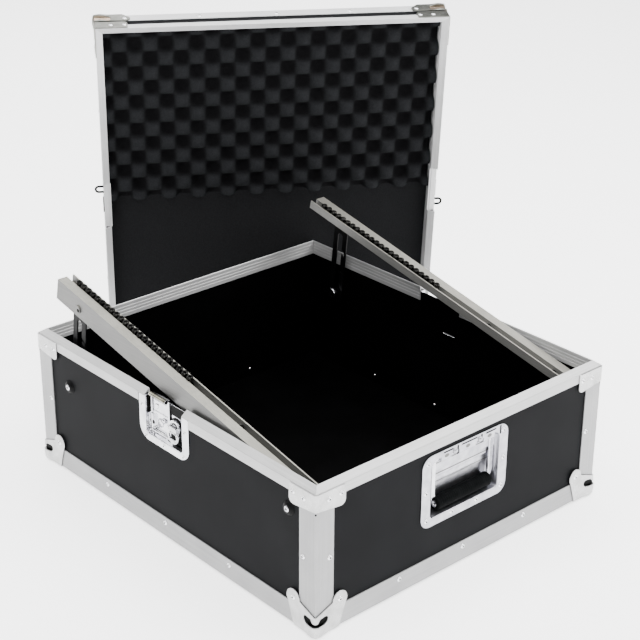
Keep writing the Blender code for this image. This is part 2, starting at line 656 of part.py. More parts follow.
def build_latch(name, sign):
    """Tray, hook, cam and folding wing of one latch."""
    seat = SIDE_X - SKIN + SEAT_GAP
    face = seat + LATCH_SHEET
    floor = face - LATCH_TRAY_DEPTH
    top = BASE_SHOULDER

    def span(first, second):
        return sorted((sign * first, sign * second))

    half = LATCH_WIDTH / 2
    low_y, high_y = LATCH_CENTRE - half, LATCH_CENTRE + half
    brim = top - ALUMINIUM - SEAT_GAP
    radii = [LATCH_CORNER, LATCH_CORNER, LATCH_TOP_CORNER, LATCH_TOP_CORNER]
    outline = rounded_outline((low_y, LATCH_BOTTOM), (high_y, brim), radii)
    near, far = span(seat, face)
    dish = prism([outline], near, far, FACE_X)
    tray_y = LATCH_TRAY_WIDTH / 2
    tray_low = LATCH_BOTTOM + LATCH_TRAY_FLANGE
    near, far = span(floor - LATCH_SHEET, face - LATCH_SHEET / 2)
    join(dish, box((near, LATCH_CENTRE - tray_y - LATCH_SHEET, tray_low - LATCH_SHEET),
                   (far, LATCH_CENTRE + tray_y + LATCH_SHEET, top)))
    near, far = span(floor, face + LATCH_TRAY_DEPTH)
    cut(dish, box((near, LATCH_CENTRE - tray_y, tray_low), (far, LATCH_CENTRE + tray_y, top + PLY)))
    node(dish, "latch_dish_" + name, "pressed steel")

    hook_y = LATCH_CENTRE - sign * HOOK_OFFSET
    slide = pivot("latch_hook_slide_" + name, (sign * (floor + SEAT_GAP), hook_y, HOOK_BOTTOM))
    near, far = sorted((0.0, sign * HOOK_SHEET))
    lip = top + RIM_RISE - HOOK_LIP_RADIUS - HOOK_BOTTOM
    edge = HOOK_WIDTH / 2
    plate = box((near, -edge, 0.0), (far, edge, lip), slide)
    near, far = sorted((0.0, sign * 2 * HOOK_LIP_RADIUS))
    join(plate,
         box((near, -edge, lip - HOOK_SHEET / 2), (far, edge, lip + HOOK_SHEET / 2), slide),
         cylinder(HOOK_LIP_RADIUS, -edge, edge, FACE_Y, (sign * 2 * HOOK_LIP_RADIUS, 0.0, lip), slide))
    node(plate, "latch_hook_" + name, "pressed steel")

    cam_place = Vector((sign * (floor + SEAT_GAP), LATCH_CENTRE - sign * LATCH_CAM_OFFSET, LATCH_CAM_HEIGHT))
    turn_axis = pivot("latch_cam_axis_" + name, cam_place)
    near, far = sorted((0.0, sign * LATCH_CAM_THICKNESS))
    cam = cylinder(LATCH_CAM_RADIUS, near, far, FACE_X, parent=turn_axis, steps=20)
    pin_height = LATCH_CAM_THICKNESS + WING_BARREL + SEAT_GAP
    lug_inner, lug_outer = LATCH_CAM_RADIUS - 0.0042, LATCH_CAM_RADIUS - 0.0012
    for end in (-1, 1):
        near, far = sorted((sign * LATCH_CAM_THICKNESS / 2, sign * (pin_height + WING_BARREL)))
        ends = sorted((end * lug_inner, end * lug_outer))
        join(cam, box((near, ends[0], -WING_BARREL), (far, ends[1], WING_BARREL), turn_axis))
    join(cam, cylinder(LATCH_PIN_RADIUS, -lug_outer + LATCH_PIN_RADIUS, lug_outer - LATCH_PIN_RADIUS, FACE_Y,
                       (sign * pin_height, 0.0, 0.0), turn_axis, 10))
    node(cam, "latch_cam_" + name, "pressed steel")

    fold_axis = pivot("latch_wing_axis_" + name, (sign * pin_height, 0.0, 0.0), parent=turn_axis)
    barrel_half = lug_inner - SEAT_GAP
    wing = cylinder(WING_BARREL, -barrel_half, barrel_half, FACE_Y, parent=fold_axis, steps=12)
    near, far = sorted((-WING_SHEET / 2, WING_SHEET / 2))
    neck = barrel_half
    blade = [(-neck, 0.0), (-neck, -WING_BARREL * 1.6)]
    blade += [(-WING_WIDTH / 2, -WING_LENGTH * 0.45)]
    blade += arc((0.0, -WING_LENGTH * 0.52), WING_WIDTH / 2 * 0.94, 195.0, 345.0, 8)
    blade += [(WING_WIDTH / 2, -WING_LENGTH * 0.45), (neck, -WING_BARREL * 1.6), (neck, 0.0)]
    join(wing, prism([blade], near, far, FACE_X, parent=fold_axis))
    finger_hole = capsule((-0.004, -WING_LENGTH * 0.58), (0.004, -WING_LENGTH * 0.58), 0.0042)
    bore = LATCH_PIN_RADIUS + SEAT_GAP
    cut(wing,
        cylinder(bore, -LATCH_CAM_RADIUS, LATCH_CAM_RADIUS, FACE_Y, parent=fold_axis, steps=10),
        prism([finger_hole], -WING_LENGTH, WING_LENGTH, FACE_X, parent=fold_axis))
    node(wing, "latch_wing_" + name, "pressed steel")


def stud_place(tilt):
    """Height and depth of the strut's stud with the rail at a tilt."""
    along, up = STRUT_STUD_ALONG, STRUT_STUD_HEIGHT
    y = RAIL_PIVOT_Y + along * math.cos(tilt) - up * math.sin(tilt)
    z = RAIL_PIVOT_HEIGHT + along * math.sin(tilt) + up * math.cos(tilt)
    return y, z


def clamp_y():
    """Depth of the clamp bolt, a little behind the raised stud."""
    return stud_place(RAIL_TILT)[0] + CLAMP_LEAN


def strut_angle():
    """Lean of the raised strut from the vertical, foot towards the rear."""
    y, z = stud_place(RAIL_TILT)
    return math.atan2(clamp_y() - y, z - CLAMP_HEIGHT)


def clamp_distance(tilt):
    """Distance from the stud to the clamp bolt."""
    y, z = stud_place(tilt)
    return math.hypot(clamp_y() - y, z - CLAMP_HEIGHT)


def bolt_head(head, shank, seat):
    """Outline of a domed bolt head from its crown down to the shank."""
    return [(0.0, seat + 0.0035), (head * 0.6, seat + 0.0029), (head, seat + 0.0008), (head, seat), (shank, seat)]


def build_rail(name, sign):
    """One rack rail with its threaded strip, on the front pivot bolt."""
    axis = pivot("rail_axis_" + name, (0.0, RAIL_PIVOT_Y, RAIL_PIVOT_HEIGHT), (RAIL_TILT, 0.0, 0.0))
    floor_low = RAIL_TOP - RAIL_GROOVE_DEPTH - RAIL_SHEET * 0.75
    floor_high = RAIL_TOP - RAIL_GROOVE_DEPTH
    section = [
        (0.0, RAIL_BOTTOM), (0.0, RAIL_TOP), (RAIL_SHELF, RAIL_TOP), (RAIL_SHELF, floor_high),
        (RAIL_SHELF + RAIL_GROOVE, floor_high), (RAIL_SHELF + RAIL_GROOVE, RAIL_TOP), (RAIL_INNER, RAIL_TOP),
        (RAIL_INNER, floor_low), (RAIL_SHELF - RAIL_SHEET, floor_low),
        (RAIL_SHELF - RAIL_SHEET, RAIL_TOP - RAIL_SHEET), (RAIL_SHEET, RAIL_TOP - RAIL_SHEET),
        (RAIL_SHEET, RAIL_BOTTOM),
    ]
    outline = [(height, sign * (RAIL_WEB - inward)) for inward, height in section]
    rail = prism([outline], -RAIL_FRONT_REACH, RAIL_REAR, FACE_Y, parent=axis)
    stud = (0.0, STRUT_STUD_ALONG, STRUT_STUD_HEIGHT)
    head_face = STRUT_INNER - SEAT_GAP
    for radius, ends in (
            (STRUT_STUD_RADIUS, (head_face - RAIL_SHEET, RAIL_WEB - RAIL_SHEET / 2)),
            (STRUT_STUD_RADIUS * 2, (head_face - 2 * RAIL_SHEET, head_face)),
            (STRUT_STUD_RADIUS * 1.9, (RAIL_WEB - RAIL_SHEET / 2, RAIL_WEB + RAIL_SHEET))):
        near, far = sorted((sign * ends[0], sign * ends[1]))
        join(rail, cylinder(radius, near, far, FACE_X, stud, axis))
    near, far = sorted((sign * (RAIL_WEB - 2 * RAIL_SHEET), sign * (RAIL_WEB + 2 * RAIL_SHEET)))
    cut(rail, cylinder(PIVOT_SHANK + SEAT_GAP, near, far, FACE_X, parent=axis, steps=20))
    node(rail, "rail_" + name, "rail steel")

    seat_x = sign * (RAIL_WEB - RAIL_SHELF - RAIL_GROOVE / 2)
    half = RAIL_GROOVE / 2 - SEAT_GAP
    base = floor_high + SEAT_GAP
    strip = box((seat_x - half, STRIP_START, base), (seat_x + half, STRIP_END, base + STRIP_THICKNESS), axis)
    bm = bmesh.new()
    for index in range(SEAT_COUNT):
        ring = bmesh.ops.create_cone(bm, cap_ends=True, segments=10, radius1=SEAT_RADIUS, radius2=SEAT_RADIUS,
                                     depth=STRIP_THICKNESS + SEAT_RISE)
        middle = base + (STRIP_THICKNESS + SEAT_RISE) / 2 + SEAT_GAP
        bmesh.ops.translate(bm, vec=(seat_x, STRIP_START + SEAT_MARGIN + index * SEAT_PITCH, middle),
                            verts=ring["verts"])
    join(strip, finish_mesh(bm, "seats", parent=axis))
    node(strip, "thread_strip_" + name, "black steel")

    wall_outer, wall_inner = SIDE_X - SKIN, SIDE_X - WALL
    web_outer, web_inner = RAIL_WEB, RAIL_WEB - RAIL_SHEET
    profile = bolt_head(PIVOT_HEAD, PIVOT_SHANK, wall_outer + SEAT_GAP) + [
        (PIVOT_SHANK, wall_inner - SEAT_GAP), (PIVOT_HEAD * 0.8, wall_inner - SEAT_GAP),
        (PIVOT_HEAD * 0.8, web_outer + SEAT_GAP), (PIVOT_SHANK, web_outer + SEAT_GAP),
        (PIVOT_SHANK, web_inner - SEAT_GAP), (PIVOT_HEAD * 0.8, web_inner - SEAT_GAP),
        (PIVOT_HEAD * 0.8, web_inner - SEAT_GAP - 0.004), (0.0, web_inner - SEAT_GAP - 0.004),
    ]
    facing = FACE_X if sign > 0 else Matrix.Rotation(math.pi, 3, "Z") @ FACE_X
    place = (0.0, RAIL_PIVOT_Y, RAIL_PIVOT_HEIGHT)
    node(turned(profile, facing, place), "pivot_bolt_" + name, "pressed steel")
    return axis


def build_strut(name, sign, rail_axis):
    """The slotted strut on its rail, with the clamp bolt and knob that hold it."""
    lean = strut_angle()
    stud = (0.0, STRUT_STUD_ALONG, STRUT_STUD_HEIGHT)
    axis = pivot("strut_axis_" + name, stud, (lean - RAIL_TILT, 0.0, 0.0), rail_axis)
    half = STRUT_WIDTH / 2
    slot = STRUT_SLOT / 2
    high = -(clamp_distance(0.0) - CLAMP_SHANK - SLOT_END_ROOM)
    low = -(clamp_distance(RAIL_TILT) + CLAMP_SHANK + SLOT_END_ROOM / 2)
    foot = low - STRUT_FOOT
    plate = arc((0.0, 0.0), half, 0.0, 180.0, 8)
    plate += [(-half, foot + half * 0.6), (-half * 0.6, foot), (half * 0.6, foot), (half, foot + half * 0.6)]
    window = arc((0.0, low + slot), slot, 0.0, -180.0, 6)
    for index in range(3):
        mouth = low + STRUT_NOTCH_WIDTH + STRUT_NOTCH_DROP + index * STRUT_NOTCH_PITCH
        window += [
            (-slot, mouth), (-slot - STRUT_NOTCH_DEPTH, mouth - STRUT_NOTCH_DROP),
            (-slot - STRUT_NOTCH_DEPTH, mouth - STRUT_NOTCH_DROP + STRUT_NOTCH_WIDTH),
            (-slot, mouth + STRUT_NOTCH_WIDTH),
        ]
    window += arc((0.0, high - slot), slot, 180.0, 0.0, 6)
    near, far = sorted((sign * STRUT_INNER, sign * STRUT_OUTER))
    eye = circle((0.0, 0.0), STRUT_STUD_RADIUS + SEAT_GAP)
    strut = prism([plate, eye, window], near, far, FACE_X, parent=axis)
    node(strut, "strut_" + name, "black steel")

    wall_outer, wall_inner = SIDE_X - SKIN, SIDE_X - WALL
    knob_face = STRUT_INNER - SEAT_GAP
    stud_end = knob_face - KNOB_THICKNESS - 0.002
    profile = bolt_head(CLAMP_HEAD, CLAMP_SHANK, wall_outer + SEAT_GAP) + [
        (CLAMP_SHANK, wall_inner - SEAT_GAP), (CLAMP_COLLAR, wall_inner - SEAT_GAP),
        (CLAMP_COLLAR, STRUT_OUTER + SEAT_GAP), (CLAMP_SHANK, STRUT_OUTER + SEAT_GAP),
        (CLAMP_SHANK, stud_end), (0.0, stud_end),
    ]
    facing = FACE_X if sign > 0 else Matrix.Rotation(math.pi, 3, "Z") @ FACE_X
    place = (0.0, clamp_y(), CLAMP_HEIGHT)
    node(turned(profile, facing, place), "clamp_bolt_" + name, "pressed steel")
    knob_axis = pivot("knob_axis_" + name, place)
    bore = CLAMP_SHANK + SEAT_GAP
    knob = [(bore, knob_face), (KNOB_RADIUS * 0.85, knob_face), (KNOB_RADIUS, knob_face - 0.0015),
            (KNOB_RADIUS, knob_face - KNOB_THICKNESS + 0.0015),
            (KNOB_RADIUS * 0.85, knob_face - KNOB_THICKNESS), (bore, knob_face - KNOB_THICKNESS), (bore, knob_face)]
    node(turned(knob, facing, parent=knob_axis), "clamp_knob_" + name, "pressed steel")


def lid_place(lean):
    """Foot of the lid's outer face, with the lid leaning forward by an angle."""
    across = Vector((math.cos(LID_YAW), math.sin(LID_YAW), 0.0))
    facing = Vector((math.sin(LID_YAW), -math.cos(LID_YAW), 0.0))
    depth = LID_SHOULDER + SKIN
    up = math.cos(lean) * Vector((0, 0, 1)) + math.sin(lean) * facing
    normal = math.cos(lean) * facing - math.sin(lean) * Vector((0, 0, 1))
    corner = Vector((SIDE_X, END_Y, 0.0))
    foot = corner - facing * (depth * math.cos(lean) + LID_FOOT_GAP) - across * LID_CORNER_SHIFT
    lowest = min((up * rise + normal * reach).z
                 for rise, reach in ((-BALL_PROUD, -BALL_PROUD), (-BALL_PROUD, BALL_REACH), (0.0, depth)))
    foot.z = FLOOR + SEAT_GAP - lowest
    return foot, up, normal


def lid_corner_clearance(lean):
    """Gap between the base's rear right rim corner and the lid's lining."""
    foot, up, normal = lid_place(lean)
    reach = BRACE_SHEET + SEAT_GAP
    corner = Vector((SIDE_X + reach, END_Y + reach, BASE_SHOULDER))
    return (corner - foot) @ normal - WALL - SEAT_GAP - LINING


def lid_lean():
    """Lean at which the lid's lining rests on the base's corner."""
    low, high = 0.0, math.radians(30.0)
    for _ in range(40):
        middle = (low + high) / 2
        if lid_corner_clearance(middle) > SEAT_GAP:
            low = middle
        else:
            high = middle
    return low


def build_lid():
    """The lid, built lying on its outer face and stood up by its parent empty."""
    lean = lid_lean()
    foot, up, normal = lid_place(lean)
    stand = pivot("lid_stand", foot + up * END_Y + normal * SKIN, (math.pi / 2 + lean, 0.0, LID_YAW))
    outer_x, outer_y = SIDE_X - SKIN, END_Y - SKIN
    inner_x, inner_y = outer_x - PLY, outer_y - PLY
    top = LID_SHOULDER - RIM_RISE - 0.8 * ALUMINIUM
    shell = box((-outer_x, -outer_y, 0.0), (outer_x, outer_y, top), stand)
    cut(shell, box((-inner_x, -inner_y, PLY), (inner_x, inner_y, top + PLY), stand))
    node(shell, "lid_shell", "laminate")

    frame = box((-SIDE_X, -END_Y, -SKIN), (SIDE_X, END_Y, -SKIN + ANGLE_LEG), stand)
    window_x, window_y = SIDE_X - ANGLE_LEG, END_Y - ANGLE_LEG
    inside_x, inside_y = SIDE_X - ALUMINIUM, END_Y - ALUMINIUM
    cut(frame,
        box((-inside_x, -inside_y, -SEAT_GAP), (inside_x, inside_y, ANGLE_LEG), stand),
        box((-window_x, -window_y, -PLY), (window_x, window_y, PLY), stand))
    for x_sign in (-1, 1):
        for y_sign in (-1, 1):
            xs = sorted((x_sign * (SIDE_X + PLY), x_sign * (SIDE_X - ANGLE_TIP)))
            ys = sorted((y_sign * (END_Y + PLY), y_sign * (END_Y - ANGLE_TIP)))
            cut(frame, box((xs[0], ys[0], -PLY), (xs[1], ys[1], -SKIN + ANGLE_TIP), stand))
    node(frame, "lid_edge_frame", "extrusion")

    bm = bmesh.new()
    points = rim_profile(LID_SHOULDER, -RIM_RISE)
    ring = [bm.verts.new((END_Y - inward, END_Y - inward, up_)) for inward, up_ in points]
    loop = [bm.edges.new((ring[index], ring[(index + 1) % len(ring)])) for index in range(len(ring))]
    bmesh.ops.spin(bm, geom=ring + loop, cent=(0, 0, 0), axis=(0, 0, 1), angle=2 * math.pi, steps=4,
                   use_merge=True)
    for vertex in bm.verts:
        vertex.co.x *= (abs(vertex.co.x) - END_Y + SIDE_X) / abs(vertex.co.x)
    bmesh.ops.remove_doubles(bm, verts=bm.verts, dist=1e-6)
    bmesh.ops.recalc_face_normals(bm, faces=bm.faces)
    rim = finish_mesh(bm, "rim", parent=stand)
    for sign in (-1, 1):
        span = sorted((sign * (SIDE_X + PLY), sign * (SIDE_X - SLOT_INNER - SEAT_GAP * 0.1)))
        cut(rim, box((span[0], LATCH_CENTRE - NOTCH_WIDTH / 2, LID_SHOULDER - 2 * RIM_OUTER_LEG),
                     (span[1], LATCH_CENTRE + NOTCH_WIDTH / 2, LID_SHOULDER + PLY), stand))
    node(rim, "lid_rim", "extrusion")

    for corner in ("front_left", "front_right", "rear_left", "rear_right"):
        turn, place = corner_frame(corner, CASE_WIDTH, CASE_DEPTH)
        label = {"front": "lower", "rear": "upper"}[corner.split("_")[0]] + "_" + corner.split("_")[1]
        ball_corner("lid_ball_corner_" + label, turn, place + Vector((0, 0, -SKIN)), stand)

    for name, sign in (("left", -1), ("right", 1)):
        seat = SIDE_X - SKIN + SEAT_GAP
        plate = sorted((sign * seat, sign * (seat + KEEPER_SHEET)))
        lip = sorted((sign * seat, sign * (seat + KEEPER_LIP)))
        low = top - KEEPER_HEIGHT
        middle = low + KEEPER_HEIGHT / 2
        keeper = box((plate[0], LATCH_CENTRE - KEEPER_WIDTH / 2, low),
                     (plate[1], LATCH_CENTRE + KEEPER_WIDTH / 2, top), stand)
        ring_y = LATCH_CENTRE - sign * KEEPER_RING_OFFSET
        ring_low = (sign * (seat + KEEPER_SHEET / 2), ring_y)
        ring_high = (sign * (seat + KEEPER_RING_REACH), ring_y)
        join(keeper,
             box((lip[0], LATCH_CENTRE - KEEPER_CATCH / 2, middle),
                 (lip[1], LATCH_CENTRE + KEEPER_CATCH / 2, middle + KEEPER_LIP), stand),
             prism([capsule(ring_low, ring_high, KEEPER_RING_RADIUS + KEEPER_WIRE),
                    capsule(ring_low, ring_high, KEEPER_RING_RADIUS - KEEPER_WIRE)],
                   middle - KEEPER_WIRE, middle + KEEPER_WIRE, parent=stand))
        behind = sorted((-sign * SIDE_X, sign * seat))
        cut(keeper, box((behind[0], ring_y - PLY * 2, low - PLY), (behind[1], ring_y + PLY * 2, top + PLY), stand))
        node(keeper, "lid_keeper_" + name, "pressed steel")
    build_foam(stand)


def build_foam(stand):
    """Lining of the lid: a flat sheet with an egg-crate field over its upper half."""
    half_x = SIDE_X - RIM_INSET - FOAM_EDGE_GAP
    half_y = END_Y - RIM_INSET - FOAM_EDGE_GAP
    columns = 4 * round(2 * half_x / FOAM_PITCH)
    rows = 4 * round((half_y - FOAM_LOWER_EDGE) / FOAM_PITCH)
    base = PLY + SEAT_GAP
    bm = bmesh.new()
    bmesh.ops.create_grid(bm, x_segments=columns, y_segments=rows + 2, size=1.0)
    step_x, step_y = 2.0 / columns, 2.0 / (rows + 2)
    for vertex in bm.verts:
        column = round((vertex.co.x + 1.0) / step_x)
        row = round((vertex.co.y + 1.0) / step_y) - 2
        vertex.co.x = -half_x + 2 * half_x * column / columns
        if row >= 0:
            vertex.co.y = FOAM_LOWER_EDGE + (half_y - FOAM_LOWER_EDGE) * row / rows
            wave = math.cos(math.pi * column / 2) * math.cos(math.pi * row / 2)
            vertex.co.z = base + LINING + FOAM_BUMP * (0.5 + 0.5 * wave)
        else:
            vertex.co.y = FOAM_LOWER_EDGE - 0.003 if row == -1 else -half_y
            vertex.co.z = base + LINING
    sheet = bmesh.ops.extrude_face_region(bm, geom=bm.faces[:])
    lowered = [item for item in sheet["geom"] if isinstance(item, bmesh.types.BMVert)]
    for vertex in lowered:
        vertex.co.z = base
    bottom = [item for item in sheet["geom"] if isinstance(item, bmesh.types.BMFace)]
    bmesh.ops.dissolve_faces(bm, faces=bottom)
    bmesh.ops.recalc_face_normals(bm, faces=bm.faces)
    node(finish_mesh(bm, "foam", parent=stand), "lid_foam", "foam")


build_base_panels()
build_base_angles()
build_base_rim()
build_ball_corners()
build_rim_braces()
build_handle()
for side_name, side_sign in (("left", -1), ("right", 1)):
    build_latch(side_name, side_sign)
    build_strut(side_name, side_sign, build_rail(side_name, side_sign))
build_lid()
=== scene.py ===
"""Looks of a rackmount mixer flight case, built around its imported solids."""
import logging
import math
from dataclasses import dataclass
from enum import Enum
from typing import Callable, Iterable, Sequence

import bmesh
import bpy
import numpy as np
from mathutils import Matrix, Vector


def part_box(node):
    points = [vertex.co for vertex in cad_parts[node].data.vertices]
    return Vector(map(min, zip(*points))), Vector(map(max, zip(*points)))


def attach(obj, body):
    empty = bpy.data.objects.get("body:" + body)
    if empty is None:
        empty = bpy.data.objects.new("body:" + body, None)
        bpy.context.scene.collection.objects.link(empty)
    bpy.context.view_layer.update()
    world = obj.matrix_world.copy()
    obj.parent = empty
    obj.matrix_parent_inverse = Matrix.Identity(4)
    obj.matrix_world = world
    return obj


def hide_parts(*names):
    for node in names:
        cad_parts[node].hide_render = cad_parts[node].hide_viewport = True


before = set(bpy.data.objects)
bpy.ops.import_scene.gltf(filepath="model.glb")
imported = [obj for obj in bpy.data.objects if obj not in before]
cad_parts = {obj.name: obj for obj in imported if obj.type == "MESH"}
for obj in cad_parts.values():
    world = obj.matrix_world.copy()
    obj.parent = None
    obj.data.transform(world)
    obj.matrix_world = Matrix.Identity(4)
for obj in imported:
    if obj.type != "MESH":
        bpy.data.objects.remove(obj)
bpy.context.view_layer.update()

logging.basicConfig(level=logging.INFO, format="%(message)s")
LOG = logging.getLogger("mixer_flight_case")
Colour = tuple[float, float, float]
Point = tuple[float, float, float]
Flat = tuple[float, float]
Material = bpy.types.Material
Mesh = bpy.types.Mesh
Node = bpy.types.Node
Piece = bpy.types.Object
Field = np.ndarray


@dataclass(frozen=True)
class CaseSize:
    """Sizes of the case that the pieces are set against, in metres."""

    half_width: float = 0.265
    half_depth: float = 0.301
    heel: float = -0.0083
    ground: float = -0.0128
    shoulder: float = 0.1957
    leg: float = 0.030
    wall: float = 0.0072
    skin: float = 0.0018
    gap: float = 0.0003
    lid_shoulder: float = 0.0468


CASE = CaseSize()


class Side(Enum):
    """The four walls, with the turn about the upright that brings the front to each."""

    FRONT = 0
    RIGHT = 90
    REAR = 180
    LEFT = 270

    def reach(self) -> float:
        """Distance from the middle to this wall."""
        return CASE.half_depth if self in (Side.FRONT, Side.REAR) else CASE.half_width

    def face(self) -> Matrix:
        """Frame on the wall: along the wall, up, and outward.

        Returns:
            The frame as a matrix.
        """
        turn = Matrix.Rotation(math.radians(self.value), 4, "Z")
        axes = Matrix(((1, 0, 0, 0), (0, 0, -1, -self.reach()), (0, 1, 0, 0), (0, 0, 0, 1)))
        return turn @ axes


class Corner(Enum):
    """The four upright corners, with the turn that brings the front left one to each."""

    FRONT_LEFT = 0
    FRONT_RIGHT = 90
    REAR_RIGHT = 180
    REAR_LEFT = 270

    def frame(self, lift: float) -> Matrix:
        """Frame at the corner, with both outer faces on the negative sides.

        Args:
            lift: height of the frame's origin.

        Returns:
            The frame as a matrix.
        """
        signs = {0: (-1, -1), 90: (1, -1), 180: (1, 1), 270: (-1, 1)}[self.value]
        place = Vector((signs[0] * CASE.half_width, signs[1] * CASE.half_depth, lift))
        return Matrix.Translation(place) @ Matrix.Rotation(math.radians(self.value), 4, "Z")

    def base_label(self) -> str:
        """Name of the corner on the base."""
        return self.name.lower()

    def lid_label(self) -> str:
        """Name of the corner on the standing lid."""
        return self.base_label().replace("front", "lower").replace("rear", "upper")


@dataclass(frozen=True)
class LidStand:
    """Where the lid stands: its foot, its turn about the upright and its lean."""

    foot: Point = (0.232451, 0.384034, -0.005171)
    yaw: float = math.radians(-32.87)
    lean: float = math.radians(8.591971)

    def frame(self) -> Matrix:
        """Frame of the lid: across, up and out of its open side, from the middle of its outer face.

        Returns:
            The frame as a matrix.
        """
        facing = Vector((math.sin(self.yaw), -math.cos(self.yaw), 0.0))
        up = math.sin(self.lean) * facing + Vector((0, 0, math.cos(self.lean)))
        normal = math.cos(self.lean) * facing - Vector((0, 0, math.sin(self.lean)))
        across = up.cross(normal)
        place = Vector(self.foot) + up * CASE.half_depth + normal * CASE.skin
        columns = Matrix((across, up, normal)).transposed().to_4x4()
        return Matrix.Translation(place) @ columns


LID = LidStand().frame()


class NodeSheet:
    """A material's node tree with short ways to add and join nodes."""

    def __init__(self, name: str) -> None:
        """Start an empty material.

        Args:
            name: name of the material.
        """
        self.material = bpy.data.materials.new(name)
        self.material.use_nodes = True
        self.tree = self.material.node_tree
        self.shader = self.tree.nodes["Principled BSDF"]

    def add(self, kind: str, **values: object) -> Node:
        """Add one node and set its options and sockets.

        Args:
            kind: node type without its prefix.
            values: options by attribute name, or socket values by label with spaces as underscores.

        Returns:
            The new node.
        """
        item = self.tree.nodes.new("ShaderNode" + kind)
        for label, value in values.items():
            if hasattr(item, label):
                setattr(item, label, value)
            else:
                item.inputs[label.replace("_", " ")].default_value = value
        return item

    def join(self, source: Node, output: str | int, target: Node, socket: str | int) -> None:
        """Link an output of one node to a socket of another."""
        self.tree.links.new(source.outputs[output], target.inputs[socket])

    def place(self, scale: Point = (1.0, 1.0, 1.0), turn: Matrix | None = None) -> Node:
        """Object coordinates, turned and stretched.

        Args:
            scale: stretch along each axis.
            turn: frame that the coordinates are taken in.

        Returns:
            A mapping node.
        """
        coordinates = self.add("TexCoord")
        mapping = self.add("Mapping", vector_type="POINT")
        mapping.inputs["Scale"].default_value = scale
        if turn is None:
            self.join(coordinates, "Object", mapping, "Vector")
            return mapping
        basis = self.add("Mapping", vector_type="POINT")
        basis.inputs["Rotation"].default_value = turn.to_3x3().inverted().to_euler()
        self.join(coordinates, "Object", basis, "Vector")
        self.join(basis, "Vector", mapping, "Vector")
        return mapping

    def noise(self, mapping: Node, scale: float, detail: float = 3.0) -> Node:
        """A noise node on given coordinates.

        Args:
            mapping: node that gives the coordinates.
            scale: how fine the noise is.
            detail: number of finer layers.

        Returns:
            The noise node.
        """
        item = self.add("TexNoise", Scale=scale, Detail=detail)
        self.join(mapping, "Vector", item, "Vector")
        return item

    def ramp(self, source: Node, stops: Sequence[tuple[float, Colour]],
             output: str | int = "Fac") -> Node:
        """A colour ramp over a node's output.

        Args:
            source: node that drives the ramp.
            stops: positions with their colours.
            output: output of the source.

        Returns:
            The ramp node.
        """
        item = self.add("ValToRGB")
        elements = item.color_ramp.elements
        while len(elements) < len(stops):
            elements.new(0.5)
        for element, (position, colour) in zip(elements, stops):
            element.position = position
            element.color = (*colour, 1.0)
        self.join(source, output, item, "Fac")
        return item

    def bump(self, source: Node, output: str, depth: float, strength: float = 1.0,
             under: Node | None = None) -> Node:
        """A bump from a height, laid over another bump where one is given.

        Args:
            source: node that gives the height.
            output: its output.
            depth: height of the relief in metres.
            strength: strength of the relief.
            under: bump that this one is added to.

        Returns:
            The bump node.
        """
        item = self.add("Bump", Strength=strength, Distance=depth)
        self.join(source, output, item, "Height")
        if under is not None:
            self.join(under, "Normal", item, "Normal")
        self.join(item, "Normal", self.shader, "Normal")
        return item

    def multiply(self, first: Node, second: Node) -> Node:
        """The product of two nodes' colours.

        Args:
            first: node of the first colour.
            second: node of the second colour.

        Returns:
            The node that mixes them.
        """
        item = self.add("Mix", data_type="RGBA", blend_type="MULTIPLY")
        item.inputs[0].default_value = 1.0
        self.join(first, "Color", item, 6)
        self.join(second, "Color", item, 7)
        return item

    def spread(self, source: Node, low: float, high: float, socket: str, output: str | int = "Fac") -> None:
        """Drive one of the shader's sockets between two values by a node's output.

        Args:
            source: node that drives the socket.
            low: value at nought.
            high: value at one.
            socket: name of the socket.
            output: output of the source.
        """
        item = self.add("MapRange")
        item.inputs["To Min"].default_value = low
        item.inputs["To Max"].default_value = high
        self.join(source, output, item, "Value")
        self.join(item, "Result", self.shader, socket)


@dataclass(frozen=True)
class Laminate:
    """Stippled charcoal laminate outside and near black inside."""

    outer: Colour = (0.0045, 0.0047, 0.0052)
    outer_high: Colour = (0.0066, 0.0069, 0.0076)
    inner: Colour = (0.0003, 0.0003, 0.0003)
    inner_high: Colour = (0.0009, 0.0009, 0.0010)

    def material(self, name: str, inside: Callable[[NodeSheet], tuple[Node, str]]) -> Material:
        """The material of one board.

        Args:
            name: name of the material.
            inside: adds the nodes that give 1 on the inner faces and 0 outside.

        Returns:
            The material.
        """
        sheet = NodeSheet(name)
        sheet.shader.inputs["Specular IOR Level"].default_value = 0.028
        mapping = sheet.place()
        stipple = sheet.noise(mapping, 900.0, 2.0)
        grain = sheet.add("TexVoronoi", Scale=620.0, feature="SMOOTH_F1")
        sheet.join(mapping, "Vector", grain, "Vector")
        cloud = sheet.noise(mapping, 14.0, 5.0)
        outer = sheet.ramp(cloud, ((0.30, self.outer), (0.72, self.outer_high)))
        inner = sheet.ramp(cloud, ((0.35, self.inner), (0.75, self.inner_high)))
        mask, output = inside(sheet)
        mix = sheet.add("Mix", data_type="RGBA")
        sheet.join(mask, output, mix, 0)
        sheet.join(outer, "Color", mix, 6)
        sheet.join(inner, "Color", mix, 7)
        sheet.join(mix, 2, sheet.shader, "Base Color")
        sheet.spread(stipple, 0.42, 0.62, "Roughness")
        coarse = sheet.bump(grain, "Distance", 0.00025, 0.35)
        sheet.bump(stipple, "Fac", 0.00018, 0.45, coarse)
        return sheet.material


class Streak(Enum):
    """Which way the drawn lines of a metal run."""

    X = (6.0, 900.0, 900.0)
    Y = (900.0, 6.0, 900.0)
    Z = (900.0, 900.0, 6.0)


